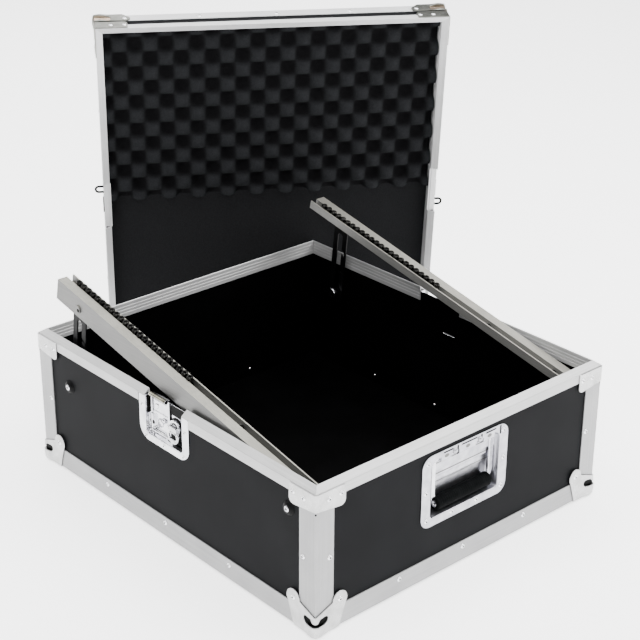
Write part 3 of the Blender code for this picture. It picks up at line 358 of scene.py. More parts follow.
@dataclass(frozen=True)
class BrushedMetal:
    """Drawn metal with fine streaks, light smudges and a soft sheen; where a tint is given, its upward faces
    are painted lighter as top light.
    """

    low: Colour
    high: Colour
    rough_low: float
    rough_high: float
    metallic: float = 1.0
    streak: float = 0.00006
    # Tint multiplied into faces that point up: painted top light, lighter where light falls from above.
    top_light: Colour = (1.0, 1.0, 1.0)

    def material(self, name: str, direction: Streak, turn: Matrix | None = None) -> Material:
        """The material of a length of this metal.

        Args:
            name: name of the material.
            direction: axis that the streaks run along.
            turn: frame that the axis is taken in.

        Returns:
            The material.
        """
        sheet = NodeSheet(name)
        sheet.shader.inputs["Metallic"].default_value = self.metallic
        lines = sheet.noise(sheet.place(direction.value, turn), 1.0, 4.0)
        smudge = sheet.noise(sheet.place(), 22.0, 6.0)
        tone = sheet.add("Mix", data_type="FLOAT")
        tone.inputs[0].default_value = 0.45
        sheet.join(lines, "Fac", tone, 2)
        sheet.join(smudge, "Fac", tone, 3)
        colour = sheet.ramp(tone, ((0.32, self.low), (0.66, self.high)), 0)
        # Painted top light: faces whose normal points up are multiplied by the tint, so tops come out lighter
        # and warmer.
        facing = sheet.add("NewGeometry")
        height = sheet.add("SeparateXYZ")
        sheet.join(facing, "Normal", height, "Vector")
        warm = sheet.ramp(height, ((0.35, (1.0, 1.0, 1.0)), (0.85, self.top_light)), "Z")
        sheet.join(sheet.multiply(colour, warm), 2, sheet.shader, "Base Color")
        sheet.spread(tone, self.rough_low, self.rough_high, "Roughness", 0)
        sheet.bump(lines, "Fac", self.streak, 0.5)
        return sheet.material


@dataclass(frozen=True)
class PlatedMetal:
    """Bright plating over pressed steel, with faint ripples and handling marks."""

    low: Colour
    high: Colour
    rough_low: float
    rough_high: float
    ripple: float = 0.00012

    def material(self, name: str) -> Material:
        """The material of a plated piece.

        Args:
            name: name of the material.

        Returns:
            The material.
        """
        sheet = NodeSheet(name)
        sheet.shader.inputs["Metallic"].default_value = 1.0
        mapping = sheet.place()
        cloud = sheet.noise(mapping, 70.0, 5.0)
        fine = sheet.noise(mapping, 900.0, 3.0)
        colour = sheet.ramp(cloud, ((0.30, self.low), (0.70, self.high)))
        sheet.join(colour, "Color", sheet.shader, "Base Color")
        sheet.spread(fine, self.rough_low, self.rough_high, "Roughness")
        ripple = sheet.bump(cloud, "Fac", self.ripple * 4, 0.25)
        sheet.bump(fine, "Fac", self.ripple * 0.2, 0.3, ripple)
        return sheet.material


@dataclass(frozen=True)
class PaintedMetal:
    """Satin paint over steel, rubbed through in small marks."""

    colour: Colour
    worn: Colour
    roughness: float = 0.42
    wear: float = 0.72
    gloss: float = 0.12

    def material(self, name: str) -> Material:
        """The material of a painted piece.

        Args:
            name: name of the material.

        Returns:
            The material.
        """
        sheet = NodeSheet(name)
        mapping = sheet.place()
        scuff = sheet.noise(mapping, 160.0, 8.0)
        grain = sheet.noise(mapping, 1300.0, 2.0)
        colour = sheet.ramp(scuff, ((self.wear - 0.12, self.colour), (self.wear, self.worn)))
        sheet.join(colour, "Color", sheet.shader, "Base Color")
        sheet.spread(scuff, self.roughness + 0.10, self.roughness - 0.10, "Roughness")
        sheet.shader.inputs["Specular IOR Level"].default_value = self.gloss
        sheet.bump(grain, "Fac", 0.00008, 0.4)
        return sheet.material


@dataclass(frozen=True)
class Rubber:
    """Black rubber with a fine matt bloom."""

    colour: Colour = (0.0022, 0.0025, 0.0026)
    bloom: Colour = (0.0045, 0.0050, 0.0052)

    def material(self, name: str) -> Material:
        """The material of the grip.

        Args:
            name: name of the material.

        Returns:
            The material.
        """
        sheet = NodeSheet(name)
        mapping = sheet.place()
        cloud = sheet.noise(mapping, 60.0, 6.0)
        grain = sheet.noise(mapping, 1500.0, 2.0)
        colour = sheet.ramp(cloud, ((0.35, self.colour), (0.75, self.bloom)))
        sheet.join(colour, "Color", sheet.shader, "Base Color")
        sheet.spread(cloud, 0.46, 0.66, "Roughness")
        sheet.shader.inputs["Specular IOR Level"].default_value = 0.012
        sheet.bump(grain, "Fac", 0.00010, 0.5)
        return sheet.material


@dataclass(frozen=True)
class Foam:
    """Open-celled charcoal foam, with painted shade down in its hollows."""

    # Colour in the hollows, darkened as painted shade.
    deep: Colour = (0.0050, 0.0050, 0.0054)
    face: Colour = (0.0125, 0.0132, 0.0142)
    cell: float = 900.0

    def material(self, name: str, low: float, high: float) -> Material:
        """The material of the lid's lining.

        Args:
            name: name of the material.
            low: height over the lid's outer face of the hollows.
            high: height of the crowns.

        Returns:
            The material.
        """
        sheet = NodeSheet(name)
        height, output = above_lid(sheet)
        share = sheet.add("MapRange")
        share.inputs["From Min"].default_value = low
        share.inputs["From Max"].default_value = high
        sheet.join(height, output, share, "Value")
        mapping = sheet.place()
        cells = sheet.add("TexVoronoi", Scale=self.cell)
        sheet.join(mapping, "Vector", cells, "Vector")
        cloud = sheet.noise(mapping, 400.0, 4.0)
        # Painted shade: colour runs from the deep tone in the hollows to the face tone on the crowns.
        base = sheet.ramp(share, ((0.25, self.deep), (0.75, self.face)), "Result")
        speck = sheet.ramp(cloud, ((0.35, (0.84, 0.84, 0.84)), (0.70, (1.14, 1.14, 1.14))))
        sheet.join(sheet.multiply(base, speck), 2, sheet.shader, "Base Color")
        sheet.shader.inputs["Roughness"].default_value = 0.95
        sheet.shader.inputs["Specular IOR Level"].default_value = 0.03
        coarse = sheet.bump(cells, "Distance", 0.0004, 0.4)
        sheet.bump(cloud, "Fac", 0.0003, 0.3, coarse)
        return sheet.material


def above_lid(sheet: NodeSheet) -> tuple[Node, str]:
    """Height over the lid's outer face, as a node and its output.

    Args:
        sheet: the material's nodes.

    Returns:
        The last node and its output.
    """
    coordinates = sheet.add("TexCoord")
    centred = sheet.add("VectorMath", operation="SUBTRACT")
    centred.inputs[1].default_value = LID.translation
    along = sheet.add("VectorMath", operation="DOT_PRODUCT")
    along.inputs[1].default_value = LID.to_3x3().col[2]
    sheet.join(coordinates, "Object", centred, 0)
    sheet.join(centred, 0, along, 0)
    return along, "Value"


def inside_lid(sheet: NodeSheet) -> tuple[Node, str]:
    """1 on the lid's inner faces.

    Args:
        sheet: the material's nodes.

    Returns:
        The last node and its output.
    """
    local = sheet.add("Mapping", vector_type="TEXTURE")
    local.inputs["Location"].default_value = LID.translation
    local.inputs["Rotation"].default_value = LID.to_euler()
    sheet.join(sheet.add("TexCoord"), "Object", local, "Vector")
    return within(sheet, local, 0.004)


def inside_base(sheet: NodeSheet) -> tuple[Node, str]:
    """1 on the base's inner faces."""
    return within(sheet, sheet.place(), -0.002)


def within(sheet: NodeSheet, local: Node, low: float) -> tuple[Node, str]:
    """1 between the boards' inner faces and above a height.

    Args:
        sheet: the material's nodes.
        local: node that gives the coordinates.
        low: lowest height.

    Returns:
        The last node and its output.
    """
    half = (CASE.half_width - CASE.wall, CASE.half_depth - CASE.wall)
    parts = sheet.add("SeparateXYZ")
    sheet.join(local, "Vector", parts, "Vector")
    result = sheet.add("Math", operation="GREATER_THAN")
    result.inputs[1].default_value = low
    sheet.join(parts, 2, result, 0)
    for index, limit in enumerate(half):
        size = sheet.add("Math", operation="ABSOLUTE")
        sheet.join(parts, index, size, 0)
        test = sheet.add("Math", operation="LESS_THAN")
        test.inputs[1].default_value = limit
        sheet.join(size, 0, test, 0)
        both = sheet.add("Math", operation="MULTIPLY")
        sheet.join(result, 0, both, 0)
        sheet.join(test, 0, both, 1)
        result = both
    return result, "Value"


# One drawn aluminium in three brightnesses: the rims take a lighter copy, and the lid's edge and catch plates
# a far lighter one, painted light for how light falls on them.
ALUMINIUM = BrushedMetal((0.235, 0.235, 0.237), (0.325, 0.325, 0.327), 0.34, 0.50, 0.55)
LIT_RIM_ALUMINIUM = BrushedMetal((0.36, 0.36, 0.36), (0.48, 0.48, 0.478), 0.34, 0.50, 0.35, 0.00004)
LIT_LID_ALUMINIUM = BrushedMetal((0.52, 0.52, 0.525), (0.68, 0.68, 0.68), 0.34, 0.50, 0.40)
# One rail steel in two brightnesses. The darker copy is painted shade for the left rail, and it also paints
# the shade lines in the handle's pan. The lighter copy is the lit right rail. Both paint their tops lighter
# as top light.
SHADED_STEEL = BrushedMetal((0.080, 0.080, 0.078), (0.122, 0.121, 0.116), 0.30, 0.46, 0.50, 0.00003,
                          (2.45, 2.40, 2.18))
GALVANISED_LIT = BrushedMetal((0.175, 0.174, 0.166), (0.235, 0.232, 0.220), 0.30, 0.46, 0.45, 0.00003,
                          (1.55, 1.52, 1.42))
ZINC = PlatedMetal((0.50, 0.50, 0.53), (0.76, 0.76, 0.78), 0.06, 0.14, 0.00030)
RIPPLED_ZINC = PlatedMetal((0.30, 0.30, 0.31), (0.80, 0.80, 0.82), 0.05, 0.12, 0.00150)
PAN_ZINC = PlatedMetal((0.33, 0.33, 0.36), (0.52, 0.52, 0.55), 0.24, 0.42, 0.00035)
BRONZED = PlatedMetal((0.050, 0.048, 0.038), (0.260, 0.250, 0.200), 0.10, 0.22, 0.00050)
SATIN_ZINC = PlatedMetal((0.36, 0.36, 0.355), (0.50, 0.50, 0.50), 0.22, 0.36)
# Darker, olive-tinted copy of the satin zinc: painted shade for the lid's braces and ball corners.
SHADED_OLIVE_ZINC = PlatedMetal((0.150, 0.152, 0.135), (0.260, 0.262, 0.240), 0.22, 0.36)
RIVET_METAL = PlatedMetal((0.80, 0.80, 0.82), (0.96, 0.96, 0.97), 0.08, 0.16)
PASSIVATED = PlatedMetal((0.42, 0.29, 0.20), (0.72, 0.58, 0.46), 0.16, 0.30)
BLACKENED = PlatedMetal((0.006, 0.006, 0.006), (0.046, 0.045, 0.042), 0.10, 0.24)
# Near black for the rivets' pins and the keepers' rings, and as painted shade in gaps, slits, slots, bores
# and recesses.
PIN_AND_SHADE_BLACK = PaintedMetal((0.0010, 0.0010, 0.0010), (0.0060, 0.0060, 0.0060), 0.36, 0.80, 0.03)
BLACK_PAINT = PaintedMetal((0.0016, 0.0016, 0.0018), (0.0060, 0.0060, 0.0060), 0.40, 0.80, 0.07)
INSIDE_BLACK = PaintedMetal((0.0004, 0.0004, 0.0005), (0.0030, 0.0030, 0.0030), 0.60, 0.85, 0.02)


def dress(node: str, material: Material, bevel: float = 0.0) -> None:
    """Give a solid of the frame its material, and soften its edges.

    Args:
        node: name of the solid.
        material: its material.
        bevel: width of the softened edges, or none.
    """
    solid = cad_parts[node]
    solid.data.materials.clear()
    solid.data.materials.append(material)
    soften(solid, bevel)
    LOG.info("dressed %s", node)


def soften(item: Piece, width: float) -> None:
    """Bevel an object's sharp edges, where a width is given.

    Args:
        item: the object.
        width: width of the softened edges, or none.
    """
    if not width:
        return
    edge = item.modifiers.new("edge", "BEVEL")
    edge.width = width
    edge.segments = 2
    edge.limit_method = "ANGLE"
    edge.angle_limit = math.radians(40.0)


def bands(rings: int, size: int, closed: bool = False) -> list[tuple[int, ...]]:
    """Four-sided faces between the successive rings of a tube.

    Args:
        rings: number of rings.
        size: number of points in each.
        closed: whether the last ring joins the first.

    Returns:
        The faces, by the numbers of their points.
    """
    faces = []
    for ring in range(rings if closed else rings - 1):
        start, end = ring * size, (ring + 1) % rings * size
        for step in range(size):
            after = (step + 1) % size
            faces.append((start + step, start + after, end + after, end + step))
    return faces


class Form:
    """A mesh under construction, with ways to add turned, flat and swept shapes."""

    def __init__(self) -> None:
        """Start an empty mesh."""
        self.mesh = bmesh.new()

    def add(self, points: Iterable[Point], faces: Iterable[Sequence[int]], place: Matrix) -> None:
        """Add points and faces in a frame.

        Args:
            points: the points.
            faces: the faces, by the numbers of their points.
            place: frame that the points lie in.
        """
        verts = [self.mesh.verts.new(place @ Vector(point)) for point in points]
        for face in faces:
            if len(set(face)) > 2:
                self.mesh.faces.new([verts[index] for index in face])

    def turned(self, profile: Sequence[Flat], place: Matrix, steps: int = 20) -> None:
        """Turn an outline of radius and height about the frame's third axis.

        Args:
            profile: radius and height of each point, from the crown down.
            place: frame of the piece.
            steps: number of steps round.
        """
        points, rings = [], []
        for radius, height in profile:
            count = 1 if radius < 1e-7 else steps
            rings.append(list(range(len(points), len(points) + count)))
            for index in range(count):
                angle = 2 * math.pi * index / steps
                points.append((radius * math.cos(angle), radius * math.sin(angle), height))
        faces = []
        for above, below in zip(rings, rings[1:]):
            for index in range(steps):
                following = (index + 1) % steps
                face = [below[index % len(below)], below[following % len(below)],
                        above[following % len(above)], above[index % len(above)]]
                faces.append(list(dict.fromkeys(face)))
        self.add(points, faces, place)

    def swept(self, path: Sequence[Vector], outline: Sequence[Flat], first: Vector,
              closed: bool = False, place: Matrix = Matrix.Identity(4)) -> None:
        """Carry an outline along a path.

        Args:
            path: points of the path.
            outline: points of the section.
            first: direction that the section's first axis leans towards.
            closed: whether the path closes on itself.
            place: frame of the piece.
        """
        count, points = len(path), []
        side = first.normalized()
        for index, point in enumerate(path):
            after = path[(index + 1) % count] if closed or index + 1 < count else point
            before = path[index - 1] if closed or index > 0 else point
            along = (after - before).normalized()
            side = (side - along * side.dot(along)).normalized()
            other = along.cross(side)
            points += [tuple(point + side * u + other * v) for u, v in outline]
        size = len(outline)
        faces = bands(count, size, closed)
        if not closed:
            faces.append(tuple(reversed(range(size))))
            faces.append(tuple(range((count - 1) * size, count * size)))
        self.add(points, faces, place)

    def slab(self, outline: Sequence[Flat], low: float, high: float, place: Matrix,
             edge: float = 0.0) -> None:
        """Raise an outline from one height to another, with a softened upper edge.

        Args:
            outline: corners of the outline, anticlockwise.
            low: lower height.
            high: upper height.
            place: frame of the piece.
            edge: width of the softened edge.
        """
        centre = Vector((sum(p[0] for p in outline), sum(p[1] for p in outline))) / len(outline)
        rings = [(outline, low), (outline, high - edge)]
        if edge:
            inner = [tuple(Vector(p) + (centre - Vector(p)).normalized() * edge) for p in outline]
            rings.append((inner, high))
        points = [(p[0], p[1], height) for ring, height in rings for p in ring]
        size = len(outline)
        ends = [tuple(reversed(range(size))), tuple(range(len(points) - size, len(points)))]
        self.add(points, ends + bands(len(rings), size), place)

    def finish(self, name: str, body: str, material: Material, smooth: float = 35.0, **more: object) -> Piece:
        """Close the mesh as a piece that rides on a body.

        Args:
            name: name of the piece.
            body: body that it rides on.
            material: its material.
            smooth: angle up to which faces are shaded as one, in degrees.
            more: what else settle takes.

        Returns:
            The piece.
        """
        bmesh.ops.recalc_face_normals(self.mesh, faces=self.mesh.faces)
        data = bpy.data.meshes.new(name)
        self.mesh.to_mesh(data)
        self.mesh.free()
        return settle(name, data, body, material, smooth, **more)


def settle(name: str, data: Mesh, body: str, material: Material, smooth: float = 35.0, bevel: float = 0.0,
           node: str = "", slot: str = "") -> Piece:
    """Make a piece of a finished mesh and ride it on a body.

    Args:
        name: name of the piece.
        data: its mesh.
        body: body that it rides on.
        material: its material.
        smooth: angle up to which faces are shaded as one, in degrees.
        bevel: width of softened edges, or none.
        node: solid that the piece stands for.
        slot: kind of stock that it is made of; not used.

    Returns:
        The piece.
    """
    if not data.materials:
        data.materials.append(material)
    data.polygons.foreach_set("use_smooth", [True] * len(data.polygons))
    data.set_sharp_from_angle(angle=math.radians(smooth))
    piece = bpy.data.objects.new(name, data)
    bpy.context.scene.collection.objects.link(piece)
    soften(piece, bevel)
    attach(piece, body)
    if node:
        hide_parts(node)
    LOG.info("built %s: %d faces, on %s", name, len(data.polygons), body)
    return piece


@dataclass
class Pressing:
    """A form described by its distance on a grid, from which its skin is drawn."""

    low: Point
    high: Point
    step: float

    def __post_init__(self) -> None:
        """Lay out the grid."""
        axes = [np.arange(a, b + self.step, self.step) for a, b in zip(self.low, self.high)]
        self.x, self.y, self.z = np.meshgrid(*axes, indexing="ij", sparse=True)

    def skin(self, distance: Field) -> tuple[Field, Field]:
        """Vertices and faces of the surface where the distance is nought.

        Args:
            distance: distance at each point of the grid, negative inside.

        Returns:
            The vertices and the four-sided faces.
        """
        sizes = [size - 1 for size in distance.shape]
        inside = distance < 0

        def corner(values: Field, shift: Sequence[int]) -> Field:
            """One corner of every cell."""
            return values[tuple(slice(step, size + step) for step, size in zip(shift, sizes))]

        shifts = [(i, j, k) for i in (0, 1) for j in (0, 1) for k in (0, 1)]
        count = sum(corner(inside, shift).astype(np.int8) for shift in shifts)
        cells = np.argwhere((count > 0) & (count < 8))
        index = np.full(sizes, -1, np.int64)
        index[tuple(cells.T)] = np.arange(len(cells))
        total, weight = np.zeros((len(cells), 3)), np.zeros(len(cells))
        for start in shifts:
            for axis in range(3):
                if start[axis]:
                    continue
                end = tuple(step + (1 if place == axis else 0) for place, step in enumerate(start))
                first = distance[tuple((cells + start).T)]
                second = distance[tuple((cells + end).T)]
                crossed = (first < 0) != (second < 0)
                share = np.where(crossed, first / np.where(crossed, first - second, 1.0), 0.0)
                point = np.array(start, float) + share[:, None] * np.eye(3)[axis]
                total += np.where(crossed[:, None], point, 0.0)
                weight += crossed
        vertices = np.array(self.low) + self.step * (cells + total / weight[:, None])
        faces = []
        for axis in range(3):
            first, second = [other for other in range(3) if other != axis]
            ahead = [slice(None)] * 3
            ahead[axis] = slice(1, None)
            behind = [slice(None)] * 3
            behind[axis] = slice(None, -1)
            change = inside[tuple(behind)].astype(np.int8) - inside[tuple(ahead)].astype(np.int8)
            for sign in (1, -1):
                edges = np.argwhere(change == sign)
                good = (edges[:, first] > 0) & (edges[:, second] > 0)
                good &= (edges[:, first] < sizes[first]) & (edges[:, second] < sizes[second])
                edges = edges[good]
                ring = []
                for a, b in ((1, 1), (0, 1), (0, 0), (1, 0)):
                    cell = edges.copy()
                    cell[:, first] -= a
                    cell[:, second] -= b
                    ring.append(index[tuple(cell.T)])
                quad = np.stack(ring, 1)
                outward = (sign == 1) == (axis != 1)
                faces.append(quad if outward else quad[:, ::-1])
        return vertices, np.concatenate(faces)

    def mesh(self, name: str, distance: Field, keep: float, even: int = 2) -> Mesh:
        """The skin as a mesh, evened out and thinned.

        Args:
            name: name of the mesh.
            distance: distance at each point of the grid.
            keep: share of the faces to keep.
            even: rounds of evening out.

        Returns:
            The mesh.
        """
        vertices, faces = self.skin(distance)
        data = bpy.data.meshes.new(name)
        data.from_pydata(vertices.tolist(), [], faces.tolist())
        holder = bpy.data.objects.new(name + "_draft", data)
        bpy.context.scene.collection.objects.link(holder)
        calm = holder.modifiers.new("calm", "SMOOTH")
        calm.factor = 0.5
        calm.iterations = even
        thin = holder.modifiers.new("thin", "DECIMATE")
        thin.ratio = keep
        bpy.context.view_layer.update()
        result = bpy.data.meshes.new_from_object(holder.evaluated_get(bpy.context.evaluated_depsgraph_get()))
        result.name = name
        bpy.data.objects.remove(holder, do_unlink=True)
        return result


def merge(first: Field, second: Field, blend: float) -> Field:
    """Join two forms with a fillet."""
    share = np.clip(0.5 + 0.5 * (second - first) / blend, 0.0, 1.0)
    return second * (1 - share) + first * share - blend * share * (1 - share)


def carve(first: Field, second: Field, blend: float) -> Field:
    """Take the second form from the first with a rounded edge."""
    return -merge(-first, second, blend)


def block(x: Field, y: Field, z: Field, centre: Point, half: Point, radius: float) -> Field:
    """Distance to a block with rounded edges.

    Args:
        x: coordinates along the first axis.
        y: coordinates along the second axis.
        z: coordinates along the third axis.
        centre: middle of the form.
        half: half its sizes.
        radius: radius of its edges.

    Returns:
        The distance, negative inside.
    """
    parts = [np.abs(value - middle) - reach + radius for value, middle, reach in zip((x, y, z), centre, half)]
    outside = np.sqrt(sum(np.maximum(part, 0.0) ** 2 for part in parts))
    return outside + np.minimum(np.maximum(np.maximum(parts[0], parts[1]), parts[2]), 0.0) - radius


def merge_max(first: Field, second: Field, blend: float) -> Field:
    """Keep what two forms share, with a rounded edge."""
    return -merge(-first, -second, blend)


def turns(*span: int) -> list[float]:
    """Angles in radians over a range of whole degrees."""
    return [math.radians(step) for step in range(*span)]


def circle(radius: float, step: int) -> list[Flat]:
    """Points round a circle, one every few degrees."""
    return [(radius * math.cos(angle), radius * math.sin(angle)) for angle in turns(0, 360, step)]


def dome(radius: float, rise: float) -> list[Flat]:
    """Radius and height down a dome."""
    return [(radius * math.sin(angle), rise * math.cos(angle)) for angle in turns(0, 91, 15)]


def rectangle(left: float, low: float, right: float, high: float) -> list[Flat]:
    """Corners of a rectangle, anticlockwise."""
    return [(left, low), (right, low), (right, high), (left, high)]


def on_face(face: Matrix, u: float, v: float, out: float = 0.0) -> Matrix:
    """Frame at a point of a face, raised outward."""
    return face @ Matrix.Translation((u, v, out))


def sideways(place: Matrix, sign: float) -> Matrix:
    """The frame turned so that its third axis lies along its first, or against it."""
    return place @ Matrix.Rotation(sign * math.pi / 2, 4, "Y")


def plate(u: Field, v: Field, centre: Flat, half: Flat, radius: float) -> Field:
    """Distance to a flat rectangle with rounded corners.

    Args:
        u: coordinates across.
        v: coordinates up.
        centre: middle of the form.
        half: half its sizes.
        radius: radius of its edges.

    Returns:
        The distance, negative inside.
    """
    first = np.abs(u - centre[0]) - half[0] + radius
    second = np.abs(v - centre[1]) - half[1] + radius
    outside = np.sqrt(np.maximum(first, 0.0) ** 2 + np.maximum(second, 0.0) ** 2)
    return outside + np.minimum(np.maximum(first, second), 0.0) - radius


def rod(u: Field, v: Field, start: Flat, end: Flat, radius: float) -> Field:
    """Distance to a flat bar with round ends.

    Args:
        u: coordinates across.
        v: coordinates up.
        start: one end.
        end: the other end.
        radius: half the bar's width.

    Returns:
        The distance, negative inside.
    """
    along = (end[0] - start[0], end[1] - start[1])
    length = along[0] ** 2 + along[1] ** 2
    share = np.clip(((u - start[0]) * along[0] + (v - start[1]) * along[1]) / length, 0.0, 1.0)
    return np.sqrt((u - start[0] - share * along[0]) ** 2 + (v - start[1] - share * along[1]) ** 2) - radius


def polygon(u: Field, v: Field, corners: Sequence[Flat]) -> Field:
    """Distance to a flat convex polygon, its corners anticlockwise.

    Args:
        u: coordinates across.
        v: coordinates up.
        corners: the corners in order.

    Returns:
        The distance, negative inside.
    """
    result = None
    for (au, av), (bu, bv) in zip(corners, list(corners[1:]) + [corners[0]]):
        length = math.hypot(bu - au, bv - av)
        side = ((u - au) * (bv - av) - (v - av) * (bu - au)) / length
        result = side if result is None else np.maximum(result, side)
    return result


def sheet_between(depth: Field, outline: Field, low: float, high: float) -> Field:
    """Distance to an outline's plate between two depths."""
    return np.maximum(outline, np.abs(depth - (low + high) / 2) - (high - low) / 2)


@dataclass
class Studio:
    """Floor, lights, surroundings and camera."""

    camera_place: Point = (-1.362, -1.530, 1.1907)
    azimuth: float = math.radians(-41.88)
    elevation: float = math.radians(24.91)
    roll: float = math.radians(0.35)
    lens: float = 90.675
    surround: float = 2.5
    backdrop: float = 3.6
    floor_glow: float = 2.0

    def build(self) -> None:
        """Make the surroundings, the floor, the lights and the camera."""
        self.build_world()
        self.build_floor()
        self.build_lights()
        self.build_camera()

    def build_world(self) -> None:
        """Bright overhead and dim to the sides, so that plated metal has something to show."""
        world = bpy.data.worlds.new("studio")
        bpy.context.scene.world = world
        world.use_nodes = True
        nodes, links = world.node_tree.nodes, world.node_tree.links
        coordinates = nodes.new("ShaderNodeTexCoord")
        height = nodes.new("ShaderNodeSeparateXYZ")
        links.new(coordinates.outputs["Generated"], height.inputs["Vector"])
        ramp = nodes.new("ShaderNodeValToRGB")
        elements = ramp.color_ramp.elements
        stops = ((0.0, 0.34), (0.13, 0.15), (0.50, 0.10), (0.68, 0.45), (0.95, 1.0))
        while len(elements) < len(stops):
            elements.new(0.5)
        for element, (position, tone) in zip(elements, stops):
            element.position = position
            element.color = (tone, tone, tone * 1.01, 1.0)
        links.new(height.outputs["Z"], ramp.inputs["Fac"])
        lit = nodes["Background"]
        links.new(ramp.outputs["Color"], lit.inputs["Color"])
        lit.inputs["Strength"].default_value = self.surround
        seen = nodes.new("ShaderNodeBackground")
        seen.inputs["Color"].default_value = (1.0, 1.0, 1.0, 1.0)
        seen.inputs["Strength"].default_value = self.backdrop
        path = nodes.new("ShaderNodeLightPath")
        mix = nodes.new("ShaderNodeMixShader")
        links.new(path.outputs["Is Camera Ray"], mix.inputs["Fac"])
        links.new(lit.outputs["Background"], mix.inputs[1])
        links.new(seen.outputs["Background"], mix.inputs[2])
        links.new(mix.outputs["Shader"], nodes["World Output"].inputs["Surface"])

    def build_floor(self) -> None:
        """A plain pale floor."""
        sheet = NodeSheet("floor_paper")
        cloud = sheet.noise(sheet.place(), 3.0, 3.0)
        tone = sheet.ramp(cloud, ((0.3, (0.92, 0.92, 0.92)), (0.7, (0.94, 0.94, 0.94))))
        sheet.join(tone, "Color", sheet.shader, "Base Color")
        sheet.shader.inputs["Roughness"].default_value = 0.9
        sheet.shader.inputs["Specular IOR Level"].default_value = 0.05
        sheet.shader.inputs["Emission Color"].default_value = (1.0, 1.0, 1.0, 1.0)
        sheet.shader.inputs["Emission Strength"].default_value = self.floor_glow
        form = bmesh.new()
        bmesh.ops.create_circle(form, cap_ends=True, segments=96, radius=14.0)
        bmesh.ops.translate(form, verts=form.verts, vec=(0.0, 0.0, CASE.ground))
        data = bpy.data.meshes.new("floor")
        form.to_mesh(data)
        form.free()
        data.materials.append(sheet.material)
        floor = bpy.data.objects.new("floor", data)
        bpy.context.scene.collection.objects.link(floor)
        LOG.info("built floor")

    def build_lights(self) -> None:
        """Large soft lights above, in front and to the right."""
        lights = {
            "overhead": ((0.2, 0.0, 2.7), (0.0, 0.0, 0.1), 2.6, 110.0),
            "front_fill": ((1.9, -1.6, 2.0), (0.0, 0.0, 0.15), 1.7, 95.0),
            "camera_fill": ((-2.1, -2.4, 2.2), (0.1, 0.1, 0.2), 1.6, 62.0),
            "rear_left": ((-1.5, 2.1, 1.9), (0.0, 0.0, 0.2), 1.6, 34.0),
            "rear_rim": ((0.9, 2.5, 1.9), (0.0, 0.0, 0.2), 1.8, 24.0),
        }
        for name, (place, aim, size, power) in lights.items():
            lamp = bpy.data.lights.new(name, "AREA")
            lamp.shape = "SQUARE"
            lamp.size = size
            lamp.energy = power
            item = bpy.data.objects.new(name, lamp)
            item.location = place
            item.rotation_euler = (Vector(aim) - Vector(place)).to_track_quat("-Z", "Y").to_euler()
            bpy.context.scene.collection.objects.link(item)

    def build_camera(self) -> None:
        """Camera at the photograph's place, angle and field."""
        forward = Vector((-math.sin(self.azimuth) * math.cos(self.elevation),
                          math.cos(self.azimuth) * math.cos(self.elevation), -math.sin(self.elevation)))
        right = forward.cross(Vector((0, 0, 1))).normalized()
        up = right.cross(forward)
        cosine, sine = math.cos(self.roll), math.sin(self.roll)
        columns = (cosine * right + sine * up, cosine * up - sine * right, -forward)
        lens = bpy.data.cameras.new("camera")
        lens.lens = self.lens
        lens.sensor_width = 36.0
        lens.sensor_fit = "HORIZONTAL"
        item = bpy.data.objects.new("camera", lens)
        item.matrix_world = Matrix.Translation(self.camera_place) @ Matrix(columns).transposed().to_4x4()
        bpy.context.scene.collection.objects.link(item)
        bpy.context.scene.camera = item
        LOG.info("placed camera")


@dataclass
class Boards:
    """The laminated boards of the base and the lid."""

    panels: tuple[str, ...] = ("bottom_panel", "front_panel", "rear_panel", "left_panel", "right_panel")

    def build(self) -> None:
        """Dress the boards, light outside and dark inside."""
        laminate = Laminate()
        base = laminate.material("laminate_base", inside_base)
        for panel in self.panels:
            dress(panel, base)
        dress("lid_shell", laminate.material("laminate_lid", inside_lid))


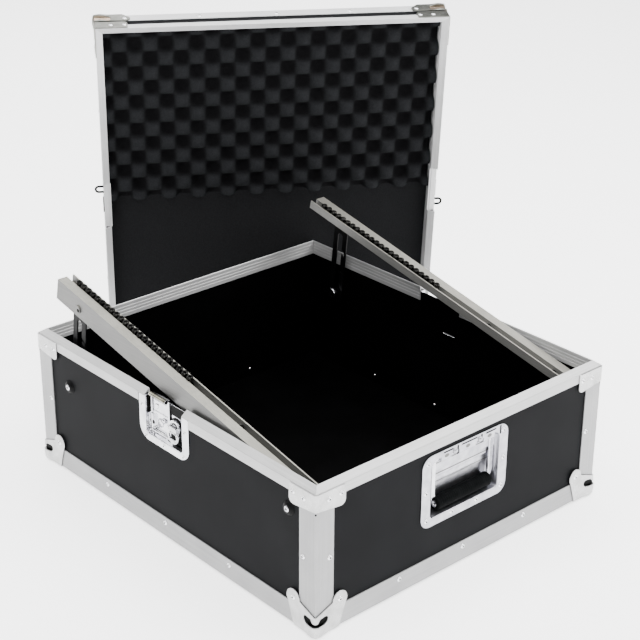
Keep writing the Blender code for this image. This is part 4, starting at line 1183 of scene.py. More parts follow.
@dataclass
class EdgeMetal:
    """Angles and rims of drawn aluminium, and the frame round the lid's edge."""

    bevel: float = 0.0004
    side_leg: float = 0.0200
    sheet: float = 0.0015

    def build(self) -> None:
        """Dress every angle and rim with streaks along its length."""
        finishes = {direction: ALUMINIUM.material("aluminium_along_" + direction.name.lower(), direction)
                    for direction in Streak}
        # Painted light: the rims take the lighter copy of the aluminium.
        rims = {direction: LIT_RIM_ALUMINIUM.material("rim_along_" + direction.name.lower(), direction)
                for direction in (Streak.X, Streak.Y)}
        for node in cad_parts:
            if node.startswith("corner_angle_"):
                dress(node, finishes[Streak.Z], self.bevel)
            elif node in ("bottom_angle_front", "bottom_angle_rear"):
                dress(node, finishes[Streak.X], self.bevel)
            elif node.startswith("bottom_angle_"):
                dress(node, finishes[Streak.Y], self.bevel)
            elif node in ("rim_front", "rim_rear"):
                dress(node, rims[Streak.X], self.bevel)
            elif node.startswith(("rim_left_", "rim_right_")):
                dress(node, rims[Streak.Y], self.bevel)
        # Painted light: the lid's edge takes the far lighter copy of the aluminium.
        lid = LIT_LID_ALUMINIUM.material("lit_lid_aluminium", Streak.Y, LID)
        dress("lid_rim", lid, 0.0003)
        self.build_lid_frame(lid)

    def build_lid_frame(self, metal: Material) -> None:
        """The angle round the lid's edge, mitred, with a broad leg behind and a narrow one at the sides.

        Args:
            metal: metal of the piece.
        """
        low, top, sheet = -CASE.skin, -CASE.skin + self.side_leg, self.sheet
        profile = [(0.0006, low), (CASE.leg - 0.0004, low), (CASE.leg, low + 0.0004), (CASE.leg, low + sheet),
                   (sheet, low + sheet), (sheet, top - 0.0003), (sheet - 0.0003, top), (0.0003, top),
                   (0.0, top - 0.0003), (0.0, low + 0.0006)]
        points = [(across * (CASE.half_width - inward), up * (CASE.half_depth - inward), height)
                  for across, up in ((-1, -1), (1, -1), (1, 1), (-1, 1)) for inward, height in profile]
        form = Form()
        form.add(points, bands(4, len(profile), True), LID)
        form.finish("lid_edge_angle", "lid", metal, 30.0, node="lid_edge_frame", slot="extrusion")


class Palette:
    """The materials that several classes share."""

    def __init__(self) -> None:
        """Make each of them."""
        self.rivets = RIVET_METAL.material("rivet_metal")
        self.zinc = ZINC.material("bright_zinc")
        self.satin = SATIN_ZINC.material("satin_zinc")
        self.shaded_olive = SHADED_OLIVE_ZINC.material("shaded_olive_zinc")
        self.bronze = BRONZED.material("bronzed_zinc")
        self.rippled = RIPPLED_ZINC.material("rippled_zinc")
        self.dark = BLACKENED.material("blackened_steel")
        # Near black for pins and rings, and for painted shade in gaps, slits, slots, bores and recesses.
        self.pins = PIN_AND_SHADE_BLACK.material("pin_steel")
        self.pan = PAN_ZINC.material("pan_zinc")
        self.warm = PASSIVATED.material("passivated_zinc")
        self.paint = BLACK_PAINT.material("black_paint")
        self.hidden = INSIDE_BLACK.material("inside_black")


@dataclass
class RivetField:
    """Blind rivets: their outline, and a near-black pin down each one's middle, partly the mandrel and partly
    painted shade down its hole.
    """

    head: float = 0.0033
    rise: float = 0.0014

    def profile(self) -> list[Flat]:
        """Radius and height from the pin hole outward.

        Returns:
            The points of the outline.
        """
        hole = self.head * 0.44
        crown = [(self.head * math.sin(angle), self.rise * (0.10 + 0.90 * math.cos(angle)))
                 for angle in (*turns(34, 83, 12), math.pi / 2)]
        return [(0.0, self.rise * 0.2), (hole, self.rise * 0.2), (hole * 1.08, self.rise * 0.84), *crown,
                (self.head * 1.05, 0.0), (self.head * 0.9, -0.0003)]

    def build(self, name: str, body: str, places: Sequence[Matrix], palette: Palette) -> None:
        """Set a rivet at each place.

        Args:
            name: name of the group.
            body: body that it rides on.
            places: frames whose third axis is the rivet's.
            palette: the shared materials.
        """
        form, dark = Form(), Form()
        hole = self.head * 0.42
        # The pin is near black: partly the mandrel, partly painted shade down the hole.
        pin = [(0.0, self.rise * 0.50), (hole, self.rise * 0.42), (hole, self.rise * 0.1)]
        for place in places:
            form.turned(self.profile(), place, 14)
            dark.turned(pin, place, 8)
        form.finish(name, body, palette.rivets, 45.0)
        dark.finish(name + "_pins", body, palette.pins, 30.0)


def corner_faces(foot: Matrix) -> tuple[Matrix, Matrix]:
    """The two outer faces that meet at a corner, each along the wall, up and outward.

    Args:
        foot: frame at the corner.

    Returns:
        Both frames.
    """
    first = foot @ Matrix(((1, 0, 0, 0), (0, 0, -1, 0), (0, 1, 0, 0), (0, 0, 0, 1)))
    second = foot @ Matrix(((0, 0, -1, 0), (-1, 0, 0, 0), (0, 1, 0, 0), (0, 0, 0, 1)))
    return first, second


def edge_rivets(stand: Matrix, side: Side, spots: Sequence[float], low: float, height: float,
                leg: float) -> list[Matrix]:
    """Frames of an edge angle's rivets, on its upright leg and on its flat one.

    Args:
        stand: frame of the box.
        side: wall that the angle runs along.
        spots: places along the wall.
        low: height of the angle's outer face.
        height: how far over that face the upright leg's rivets lie.
        leg: how far in the flat leg's rivets lie.

    Returns:
        The frames, two for each place.
    """
    face, places = stand @ side.face(), []
    turn = stand @ Matrix.Rotation(math.radians(side.value), 4, "Z")
    for u in spots:
        places.append(on_face(face, u, low + height))
        places.append(on_face(turn, u, -side.reach() + leg, low) @ Matrix.Rotation(math.pi, 4, "X"))
    return places


def ball_corner_rivets(foot: Matrix, lobe: Flat, proud: float) -> list[Matrix]:
    """Frames of the three rivets of a ball corner.

    Args:
        foot: frame at the corner.
        lobe: distance along the wall and up of the rivets on the two walls.
        proud: how far the lobes stand out.

    Returns:
        The three frames.
    """
    along, up = lobe
    front = Matrix(((1, 0, 0, along), (0, 0, -1, -proud), (0, 1, 0, up), (0, 0, 0, 1)))
    side = Matrix(((0, 0, -1, -proud), (-1, 0, 0, along), (0, 1, 0, up), (0, 0, 0, 1)))
    under = Matrix(((1, 0, 0, 0.040), (0, -1, 0, 0.040), (0, 0, -1, -proud), (0, 0, 0, 1)))
    return [foot @ front, foot @ side, foot @ under]


@dataclass
class CornerBrace:
    """A bent brace round a rim's corner: two rounded wings over the rim and the upright."""

    shares: tuple[float, ...] = (1.0, 0.998, 0.99, 0.975, 0.955, 0.93, 0.90, 0.86, 0.80, 0.66, 0.45,
                                 0.25, 0.08)
    bend: float = 0.0012
    reach: float = 0.0475
    drop: float = 0.0244
    sag: float = 0.12
    lower_round: float = 0.0090
    upper_round: float = 0.0030
    upper: float = 0.0010
    sheet: float = 0.0012
    soft: float = 0.0003
    screws: tuple[Flat, ...] = ((0.0403, 0.0116), (0.0207, 0.0128))
    heel_hole: bool = True

    def rounding(self, along: float, radius: float) -> float:
        """How far a wing's rounded corner draws its edge in."""
        over = along - (self.reach - radius)
        return radius - math.sqrt(max(radius ** 2 - over ** 2, 0.0)) if over > 0 else 0.0

    def edges(self, along: float) -> Flat:
        """How far below the shoulder the lower and the upper edge lie at a distance from the corner."""
        lower = self.drop + self.sag * along - self.rounding(along, self.lower_round)
        return lower, self.upper + self.rounding(along, self.upper_round)

    def stations(self) -> list[tuple[Flat, Flat, float]]:
        """Outer and inner points of the bend, each with its distance along the wing.

        Returns:
            The stations in order.
        """
        proud = CASE.gap + self.sheet
        wing = [((self.reach * share, -proud), (self.reach * share, -CASE.gap), self.reach * share)
                for share in self.shares]
        bend, outer, inner = self.bend, self.bend + proud, self.bend + proud - self.sheet
        turn = [((bend - outer * math.cos(angle), bend - outer * math.sin(angle)),
                 (bend - inner * math.cos(angle), bend - inner * math.sin(angle)), 0.0)
                for angle in turns(75, 0, -15)]
        other = [((out[1], out[0]), (back[1], back[0]), along) for out, back, along in reversed(wing)]
        return wing + turn + other

    def build(self, name: str, foot: Matrix, body: str, metal: Material, palette: Palette,
              node: str = "") -> None:
        """Build one brace with its screws.

        Args:
            name: name of the brace.
            foot: frame at the corner, at the height of the rim's shoulder.
            body: body that it rides on.
            metal: metal of the brace.
            palette: the shared materials.
            node: solid that the brace stands for.
        """
        form, points = Form(), []
        for outer, inner, along in self.stations():
            lower, upper = self.edges(along)
            points += [(*outer, -lower + self.soft), (*outer, -upper - self.soft),
                       (*inner, -upper), (*inner, -lower)]
        ends = [(3, 2, 1, 0), tuple(range(len(points) - 4, len(points)))]
        form.add(points, bands(len(points) // 4, 4) + ends, foot)
        form.finish(name, body, metal, 28.0, node=node, slot="extrusion")
        proud, places = CASE.gap + self.sheet, []
        first, second = corner_faces(foot)
        for along, down in self.screws:
            places += [on_face(first, along, -down, proud), on_face(second, -along, -down, proud)]
        RivetField(0.0031, 0.0013).build(name + "_rivets", body, places, palette)
        if self.heel_hole:
            # Painted shade: a near-black disc stands for the dark in the heel's hole.
            heel = on_face(foot, 0.0002, 0.0002, -self.drop - 0.0032)
            turned = heel @ Matrix.Rotation(math.radians(-45), 4, "Z") @ Matrix.Rotation(math.pi / 2, 4, "X")
            pin = Form()
            pin.turned([(0.0, 0.0004), (0.0013, 0.0003), (0.0013, -0.0004)], turned, 10)
            pin.finish(name + "_pin", body, palette.pins, slot="black_steel")


@dataclass
class Braces:
    """All the braces of the base's rim and the lid's rim."""

    lid_drop: float = 0.0222
    lid_round: float = 0.006
    lid_screws: tuple[Flat, ...] = ((0.0430, 0.0105), (0.0230, 0.0105))

    def build(self, palette: Palette) -> None:
        """Build the eight braces.

        Args:
            palette: the shared materials.
        """
        high = CornerBrace(drop=self.lid_drop, sag=0.0, lower_round=self.lid_round, screws=self.lid_screws,
                           heel_hole=False)
        for corner in Corner:
            name = corner.base_label()
            CornerBrace().build("brace_" + name, corner.frame(CASE.shoulder), "base", palette.satin, palette,
                                "rim_brace_" + name)
            # The lid's braces take the darker, shaded copy of the satin zinc.
            high.build("brace_lid_" + corner.lid_label(), LID @ corner.frame(CASE.lid_shoulder), "lid",
                       palette.shaded_olive, palette)


@dataclass
class BaseRivets:
    """Rivets of the base's angles and corners, and their tails inside."""

    side_places: tuple[float, ...] = (-0.143, -0.007, 0.131)
    end_places: tuple[float, ...] = (-0.120, -0.002, 0.118)
    leg_line: float = 0.0212
    upright_inset: float = 0.0235
    upright_height: float = 0.0985
    tail_depth: float = 0.0083

    def build(self, palette: Palette) -> None:
        """Set all the rivets of the base.

        Args:
            palette: the shared materials.
        """
        places, tails, lobes = [], [], []
        for side in Side:
            along = self.end_places if side in (Side.FRONT, Side.REAR) else self.side_places
            along = [-u if side is Side.RIGHT else u for u in along]
            places += edge_rivets(Matrix.Identity(4), side, along, CASE.heel, self.leg_line, self.leg_line)
            tails += [on_face(side.face(), u, CASE.heel + self.leg_line, -self.tail_depth)
                      @ Matrix.Rotation(math.pi, 4, "X") for u in along]
        for corner in Corner:
            first, second = corner_faces(corner.frame(0.0))
            places.append(on_face(first, self.upright_inset, self.upright_height))
            places.append(on_face(second, -self.upright_inset, self.upright_height))
            lobes += ball_corner_rivets(corner.frame(CASE.heel), (0.040, 0.040), 0.0018)
        RivetField().build("rivets_base", "base", places, palette)
        RivetField(0.0024, 0.0014).build("rivet_tails_base", "base", tails, palette)
        RivetField(0.0034, 0.0014).build("rivets_base_corners", "base", lobes, palette)


@dataclass
class BallCorner:
    """A pressed ball corner: a bulging cup, three lobes and a smile-shaped window over the cup's lip."""

    proud: float = 0.0045
    sheet: float = 0.0015
    cup: float = 0.0195
    radius: float = 0.0130
    fillet: float = 0.0080
    lobe: Flat = (0.040, 0.040)
    lobe_radius: float = 0.0120
    wall_outline: tuple[Flat, ...] = ((-0.006, -0.006), (0.0372, -0.006), (0.0520, 0.0392), (0.0400, 0.0438),
                                      (0.0300, 0.0400), (-0.006, 0.0262))
    under_outline: tuple[Flat, ...] = ((-0.006, -0.006), (0.0372, -0.006), (0.0520, 0.0385), (0.0385, 0.0520),
                                       (-0.006, 0.0372))
    crown: float = 0.0260
    lip: float = 0.0150
    lip_curve: float = 3.0
    brow: float = 0.0095
    tongue: float = 0.0050
    window: float = 0.0200
    # Low and high edge of the sheet behind the window.
    window_backing: Flat = (0.0120, 0.0270)
    step: float = 0.00055

    def distance(self, grid: Pressing) -> Field:
        """Distance to the pressed sheet, in the corner's frame.

        Args:
            grid: the points to measure at.

        Returns:
            The distance, negative inside the metal.
        """
        x, y, z = grid.x, grid.y, grid.z
        low, gap, thin = -self.proud, CASE.gap, self.sheet
        half, middle = (self.cup - low) / 2, (self.cup + low) / 2
        tall, rise = (self.crown - low) / 2, (self.crown + low) / 2
        centre, skin, lobes = (middle, middle, rise), thin + gap, None
        cup = block(x, y, z, centre, (half, half, tall), self.radius)
        hollow = block(x, y, z, centre, (half - thin, half - thin, tall - thin), self.radius - thin)
        faces = ((z, x, y, self.under_outline, (0.040, 0.040), 0.0120),
                 (x, y, z, self.wall_outline, self.lobe, self.lobe_radius),
                 (y, x, z, self.wall_outline, self.lobe, self.lobe_radius))
        for depth, along, up, outline, place, radius in faces:
            disc = np.sqrt((along - place[0]) ** 2 + (up - place[1]) ** 2) - radius
            one = sheet_between(depth, merge(polygon(along, up, outline), disc, 0.0015), -skin, -gap)
            lobes = one if lobes is None else np.minimum(lobes, one)
        outside = np.sqrt(np.maximum(-x, 0) ** 2 + np.maximum(-y, 0) ** 2 + np.maximum(-z, 0) ** 2)
        form = merge(np.maximum(lobes, outside - skin), cup, self.fillet)
        form = np.maximum(form, np.maximum(np.maximum(low - x, low - y), low - z))
        form = np.maximum(form, -hollow)
        corner = -np.minimum(np.minimum(x, y), z)
        form = np.maximum(form, gap - np.where(corner < 0, corner, outside))
        for depth, along in ((x, y), (y, x)):
            reach = np.maximum(along, 0.0)
            lower = self.lip + self.lip_curve * reach ** 2
            upper = lower + self.brow - self.tongue * (1 - smooth_rise(reach, 0.001, 0.007))
            opening = merge_max(lower - z, z - upper, 0.0015)
            opening = merge_max(opening, along - self.window, 0.006)
            form = carve(form, np.maximum(opening, depth - 0.006), 0.0007)
        return form

    def mesh(self, name: str) -> Mesh:
        """The mesh that the ball corners of one kind share."""
        grid = Pressing((-0.0062,) * 3, (0.0540,) * 3, self.step)
        return grid.mesh(name, self.distance(grid), 0.16, 2)

    def place(self, name: str, form: Mesh, foot: Matrix, body: str, node: str, metal: Material,
              behind: Material) -> None:
        """Set one ball corner over its solid, with a thin sheet behind its window.

        Args:
            name: name of the piece.
            form: mesh of this kind of ball corner.
            foot: frame at the corner.
            body: body that it rides on.
            node: solid that it stands for.
            metal: metal of the ball corner.
            behind: metal of the sheet behind the window; on the base it is near black, painted shade in the
                hollow behind the window.
        """
        # Sheet behind each window: on the base it is near black and paints the shade behind the window.
        window_backing, (low, high) = Form(), self.window_backing
        for face, mirror in zip(corner_faces(foot), (1.0, -1.0)):
            left, right = sorted((-0.0006 * mirror, (self.window + 0.0015) * mirror))
            window_backing.slab(rectangle(left, low, right, high), CASE.gap * 0.5, CASE.gap + 0.0003, face)
        window_backing.finish(name + "_window_backing", body, behind, 30.0, slot="pressed_steel")
        data = form.copy()
        data.transform(foot)
        settle(name, data, body, metal, 60.0, node=node, slot="pressed_steel")


def shallow_ball_corner() -> BallCorner:
    """The ball corner of the lid, whose wall lobes lie low.

    Returns:
        The ball corner with its sizes.
    """
    return BallCorner(proud=0.0036, lobe=(0.0445, 0.0150), lobe_radius=0.0080, crown=0.0235, lip=0.0045,
                      lip_curve=4.0, brow=0.0150, tongue=0.0, window=0.0235, window_backing=(0.0030, 0.0225),
                      wall_outline=((-0.006, -0.006), (0.0372, -0.006), (0.0510, 0.0110), (0.0515, 0.0160),
                                    (0.0450, 0.0228), (-0.006, 0.0222)))


def build_ball_corners(palette: Palette) -> None:
    """Place the eight ball corners.

    Args:
        palette: the shared materials.
    """
    deep, shallow = BallCorner(), shallow_ball_corner()
    base, lid = deep.mesh("ball_corner_form"), shallow.mesh("ball_corner_lid_form")
    for corner in Corner:
        name, label = corner.base_label(), corner.lid_label()
        # The base's sheet behind each window is near black, painted shade; the lid's is warm plated metal.
        deep.place("ball_" + name, base, corner.frame(CASE.heel), "base", "ball_corner_" + name,
                   palette.satin, palette.pins)
        shallow.place("ball_lid_" + label, lid, LID @ corner.frame(-CASE.skin), "lid",
                      "lid_ball_corner_" + label, palette.shaded_olive, palette.warm)


def smooth_rise(value: Field, start: float, end: float) -> Field:
    """Smooth rise from nought to one."""
    share = np.clip((value - start) / (end - start), 0.0, 1.0)
    return share * share * (3 - 2 * share)


def paint_back(data: Mesh, front: Material, hidden: Material, test: Callable[[Vector, Vector], bool]) -> None:
    """Give the faces inside the case the near-black colour of the inside.

    Args:
        data: mesh of the piece.
        front: material of its outer faces.
        hidden: material of its inner faces.
        test: tells by a face's middle and normal whether it is inside.
    """
    data.materials.append(front)
    data.materials.append(hidden)
    for face in data.polygons:
        face.material_index = int(test(face.center, face.normal))


@dataclass
class CarryHandle:
    """Recessed handle: pressed dish, knuckles, springs, bail and grip."""

    half: Flat = (0.080, 0.053)
    shift: float = -0.0035
    low: float = 0.0690
    corner: float = 0.016
    sheet: float = 0.0012
    side_flange: float = 0.0165
    top_flange: float = 0.009
    lower_flange: float = 0.0125
    depth: float = 0.020
    steps: tuple[Point, ...] = ((0.1165, 0.1185, 0.0030), (0.1290, 0.1310, 0.0040), (0.1400, 0.1420, 0.0028))
    # Height and depth of each dark line of painted shade at the foot of a step in the pan.
    shade_lines: tuple[Flat, ...] = ((0.1525, 0.0102), (0.1345, 0.0130), (0.1200, 0.0170))
    step: float = 0.0006
    axis_out: float = -0.0100
    axis_height: float = 0.1619
    rod: float = 0.0025
    drop: float = 0.0682
    knuckle: float = 0.0044
    knuckle_width: float = 0.0235
    knuckle_pitch: float = 0.036
    # Ends and width of those lines of painted shade.
    shade_line_ends: Flat = (-0.060, 0.053)
    shade_line_width: float = 0.0011
    tabs: tuple[Flat, ...] = ((-0.0498, -0.0310), (-0.0165, 0.0135), (0.0290, 0.0498))
    tab_low: float = 0.1610
    tab_high: float = 0.1712
    tab_pins: Flat = (-0.0250, 0.0215)
    pin_height: float = 0.1675
    # Size and height of the dark oval that paints the shade of each tab's dent.
    dent: Flat = (0.0042, 0.0026)
    dent_height: float = 0.1665
    rivet_spots: tuple[Flat, ...] = ((0.0705, 0.0803), (0.0727, 0.1225), (0.0705, 0.1648), (0.0232, 0.0770))
    arm: float = 0.0545
    arm_width: float = 0.0078
    arm_sheet: float = 0.0030
    arm_turn: float = 0.0115
    eye: tuple[Flat, ...] = ((0.0, 0.0070), (0.0030, 0.0070), (0.0046, 0.0062), (0.0050, 0.0050),
                             (0.0050, 0.0006), (0.0044, 0.0))
    cap: tuple[Flat, ...] = ((0.0, 0.0026), (0.0022, 0.0025), (0.0030, 0.0016), (0.0060, 0.0015),
                             (0.0074, 0.0009), (0.0078, -0.0004))
    narrow_cap: float = 0.62
    grip: float = 0.0099
    grip_reach: float = 0.0505
    ribs: int = 25
    springs: tuple[float, ...] = (-0.018, 0.018, 0.0335 + 0.0175, -0.0335 - 0.0175)
    coil: float = 0.0037

    def face(self) -> Matrix:
        """Frame on the dish's outer face: along the case, up and outward."""
        return on_face(Side.FRONT.face(), 0.0, 0.0, -CASE.skin + CASE.gap + self.sheet)

    def axis_frame(self) -> Matrix:
        """Frame on the bail's axis: along it, up and outward."""
        return on_face(self.face(), 0.0, self.axis_height, self.axis_out)

    def distance(self, grid: Pressing) -> Field:
        """Distance to the pressed dish, with depth behind its outer face.

        Args:
            grid: the points to measure at.

        Returns:
            The distance, negative inside the metal.
        """
        u, v, depth = grid.x - self.shift, grid.y, -grid.z
        middle = self.low + self.half[1]
        flange = sheet_between(depth, plate(u, v, (0.0, middle), self.half, self.corner), 0.0, self.sheet)
        low = self.low + self.lower_flange
        high = self.low + 2 * self.half[1] - self.top_flange
        half = (self.half[0] - self.side_flange, (high - low) / 2)
        back = self.depth
        for start, end, rise in self.steps:
            back = back - rise * smooth_rise(v, start, end)
        back = back - 0.0010 * np.exp(-((u / 0.040) ** 2)) * np.exp(-((v - 0.1235) / 0.0035) ** 2)
        mouth = self.window(u, v, (0.0, (high + low) / 2), half) + 0.10 * depth
        pocket = merge_max(mouth, depth - back, 0.003)
        pan = merge_max(mouth - self.sheet, depth - back - self.sheet, 0.0042)
        form = carve(merge(flange, np.maximum(pan, -depth), 0.0015), pocket, 0.0016)
        for index in (-1, 0, 1):
            spot = index * self.knuckle_pitch + self.knuckle_width / 2 + 0.0022
            notch = plate(u, v, (spot, high - 0.001), (0.0030, 0.0042), 0.001)
            form = np.maximum(form, -np.maximum(notch, depth - 0.004))
        return form

    @staticmethod
    def window(u: Field, v: Field, centre: Flat, half: Flat) -> Field:
        """Outline of the dish's mouth: rounded, with its upper corners cut across."""
        cut = (np.abs(u - centre[0]) - half[0] + (v - centre[1]) - half[1] + 0.0070) / math.sqrt(2.0)
        return merge_max(plate(u, v, centre, half, 0.0060), cut, 0.002)

    def build_dish(self, palette: Palette) -> None:
        """The dish with its curled knuckles.

        Args:
            palette: the shared materials.
        """
        grid = Pressing((self.shift - 0.0815, self.low - 0.0015, -self.depth - 0.0024),
                        (self.shift + 0.0815, self.low + 2 * self.half[1] + 0.0015, 0.0012), self.step)
        data = grid.mesh("handle_pan", self.distance(grid), 0.14, 2)
        data.transform(self.face())
        inside = -CASE.half_depth + 0.0075
        paint_back(data, palette.pan, palette.hidden,
                   lambda centre, normal: centre.y > inside and normal.y > 0.2)
        settle("handle_pan", data, "base", palette.pan, 60.0, node="handle_dish", slot="pressed_steel")
        form, radius, half = Form(), self.knuckle, self.knuckle_width / 2
        for index in (-1, 0, 1):
            middle = index * self.knuckle_pitch
            path = [Vector((middle, self.axis_height + radius * math.sin(angle),
                            self.axis_out + radius * math.cos(angle))) for angle in turns(-70, 200, 15)]
            path.append(Vector((middle, self.axis_height + radius * 0.2, self.axis_out - 0.0068)))
            form.swept(path, rectangle(-0.0006, -half, 0.0006, half), Vector((0, 0, 1)), place=self.face())
        form.finish("handle_knuckles", "base", palette.pan, 40.0, bevel=0.0003, slot="pressed_steel")

    def build_tabs(self, palette: Palette) -> None:
        """The hinge tabs and their pin domes, with painted shade: a dark oval for each tab's dent, near-black
        strips in the gaps above and beside the tabs, and dark lines at the foot of each step in the pan.

        Args:
            palette: the shared materials.
        """
        form, gap_shade, shade_lines, here = Form(), Form(), Form(), self.face()
        # Painted shade: dark lines along the foot of each step in the pan.
        for height, depth in self.shade_lines:
            line = rectangle(self.shade_line_ends[0], height, self.shade_line_ends[1], height + self.shade_line_width)
            shade_lines.slab(line, -depth - 0.0003, -depth + 0.0003, here)
        for left, right in self.tabs:
            form.slab(rectangle(left, self.tab_low, right, self.tab_high), -0.0030, 0.0003, here, 0.0006)
            middle, top = (left + right) / 2, self.tab_high + 0.0002
            # Painted shade: a dark oval on each tab for its dent, and near-black strips above and beside it
            # for the shade in the gaps.
            dent = [(middle + self.dent[0] * math.cos(angle),
                     self.dent_height + self.dent[1] * math.sin(angle)) for angle in turns(0, 360, 20)]
            shade_lines.slab(dent, 0.0001, 0.00045, here)
            above = rectangle(left + 0.004, top, right + 0.002, top + 0.0014)
            beside = rectangle(right + 0.0100, self.tab_low + 0.0002, right + 0.0122, top + 0.0024)
            gap_shade.slab(above, -0.0012, 0.00045, here)
            gap_shade.slab(beside, -0.0012, 0.00045, here)
        for middle in self.tab_pins:
            pin = on_face(here, middle, self.pin_height, 0.0002)
            form.turned(dome(0.0040, 0.0030) + [(0.0042, -0.0020)], pin, 20)
        form.finish("handle_tabs", "base", palette.pan, 40.0, slot="pressed_steel")
        gap_shade.finish("handle_gap_shade", "base", palette.pins, 30.0, slot="black_steel")
        shade = SHADED_STEEL.material("painted_shade_steel", Streak.X)
        shade_lines.finish("handle_painted_shade", "base", shade, 30.0, slot="pressed_steel")

    def build_bail(self, metal: Material) -> None:
        """The bail: a rod with an eye at each end, and two flat arms that curve in to the grip.

        Args:
            metal: metal of the piece.
        """
        here, form, arm, up = self.axis_frame(), Form(), self.arm, Vector((0, 0, 1))
        form.swept([Vector((-arm, 0, 0)), Vector((arm, 0, 0))], circle(self.rod, 30), up, place=here)
        half, thick = self.arm_width / 2, self.arm_sheet / 2
        soft = thick * 0.45
        strap = [(-thick, -half + soft), (-thick + soft, -half), (thick - soft, -half), (thick, -half + soft),
                 (thick, half - soft), (thick - soft, half), (-thick + soft, half), (-thick, half - soft)]
        for sign in (-1, 1):
            elbow = -self.drop + 0.0170
            centre = Vector((sign * (arm - self.arm_turn), elbow, 0.0))
            path = [Vector((sign * arm, 0.0030, 0.0)), Vector((sign * arm, elbow, 0.0))]
            path += [centre + self.arm_turn * Vector((sign * math.cos(angle), -math.sin(angle) * 1.3, 0.0))
                     for angle in turns(12, 73, 12)]
            form.swept(path, strap, up, place=here)
            form.turned(self.eye, sideways(on_face(here, sign * (arm - 0.0042), 0), sign), 24)
            broad = 1.0 if sign > 0 else self.narrow_cap
            cap = [(radius * broad, height) for radius, height in self.cap]
            form.turned(cap, sideways(on_face(here, sign * self.grip_reach, -self.drop), sign), 28)
        form.finish("handle_bow", "handle", metal, 40.0, node="handle_bail", slot="pressed_steel")

    def build_grip(self) -> None:
        """The ribbed sleeve of the grip."""
        form, reach, grip = Form(), self.grip_reach, self.grip
        width = (2 * reach - 0.008) / self.ribs
        ends = [(0.0, reach), (grip * 0.82, reach), (grip * 0.95, reach - 0.0008), (grip, reach - 0.0022)]
        profile = list(ends)
        for index in range(self.ribs):
            start = reach - 0.004 - width * index
            profile += [(grip, start), (grip, start - width * 0.62), (grip - 0.0003, start - width * 0.70),
                        (grip - 0.0003, start - width * 0.92)]
        profile += [(radius, -height) for radius, height in reversed(ends)]
        form.turned(profile, sideways(on_face(self.axis_frame(), 0.0, -self.drop), 1.0), 32)
        form.finish("handle_sleeve", "handle", Rubber().material("grip_rubber"), 40.0, node="handle_grip",
                    slot="rubber")

    def build_springs(self, metal: Material) -> None:
        """Coiled springs on the rod between the knuckles.

        Args:
            metal: metal of the piece.
        """
        form = Form()
        for middle in self.springs:
            reach, rounds = (0.0052, 5) if abs(middle) < 0.03 else (0.0026, 3)
            steps = rounds * 12
            path = [Vector((middle - reach + 2 * reach * step / steps,
                            self.coil * math.cos(step * math.tau / 12),
                            self.coil * math.sin(step * math.tau / 12))) for step in range(steps + 1)]
            form.swept(path, circle(0.0009, 60), Vector((1, 0, 0)), place=self.axis_frame())
        form.finish("handle_springs", "base", metal, 60.0, slot="pressed_steel")

    def build(self, palette: Palette) -> None:
        """Build the whole handle.

        Args:
            palette: the shared materials.
        """
        self.build_dish(palette)
        self.build_tabs(palette)
        places = [on_face(self.face(), self.shift + sign * u, v)
                  for u, v in self.rivet_spots for sign in (-1, 1)]
        RivetField(0.0031, 0.0014).build("rivets_handle", "base", places, palette)
        self.build_bail(palette.zinc)
        self.build_grip()
        self.build_springs(palette.zinc)


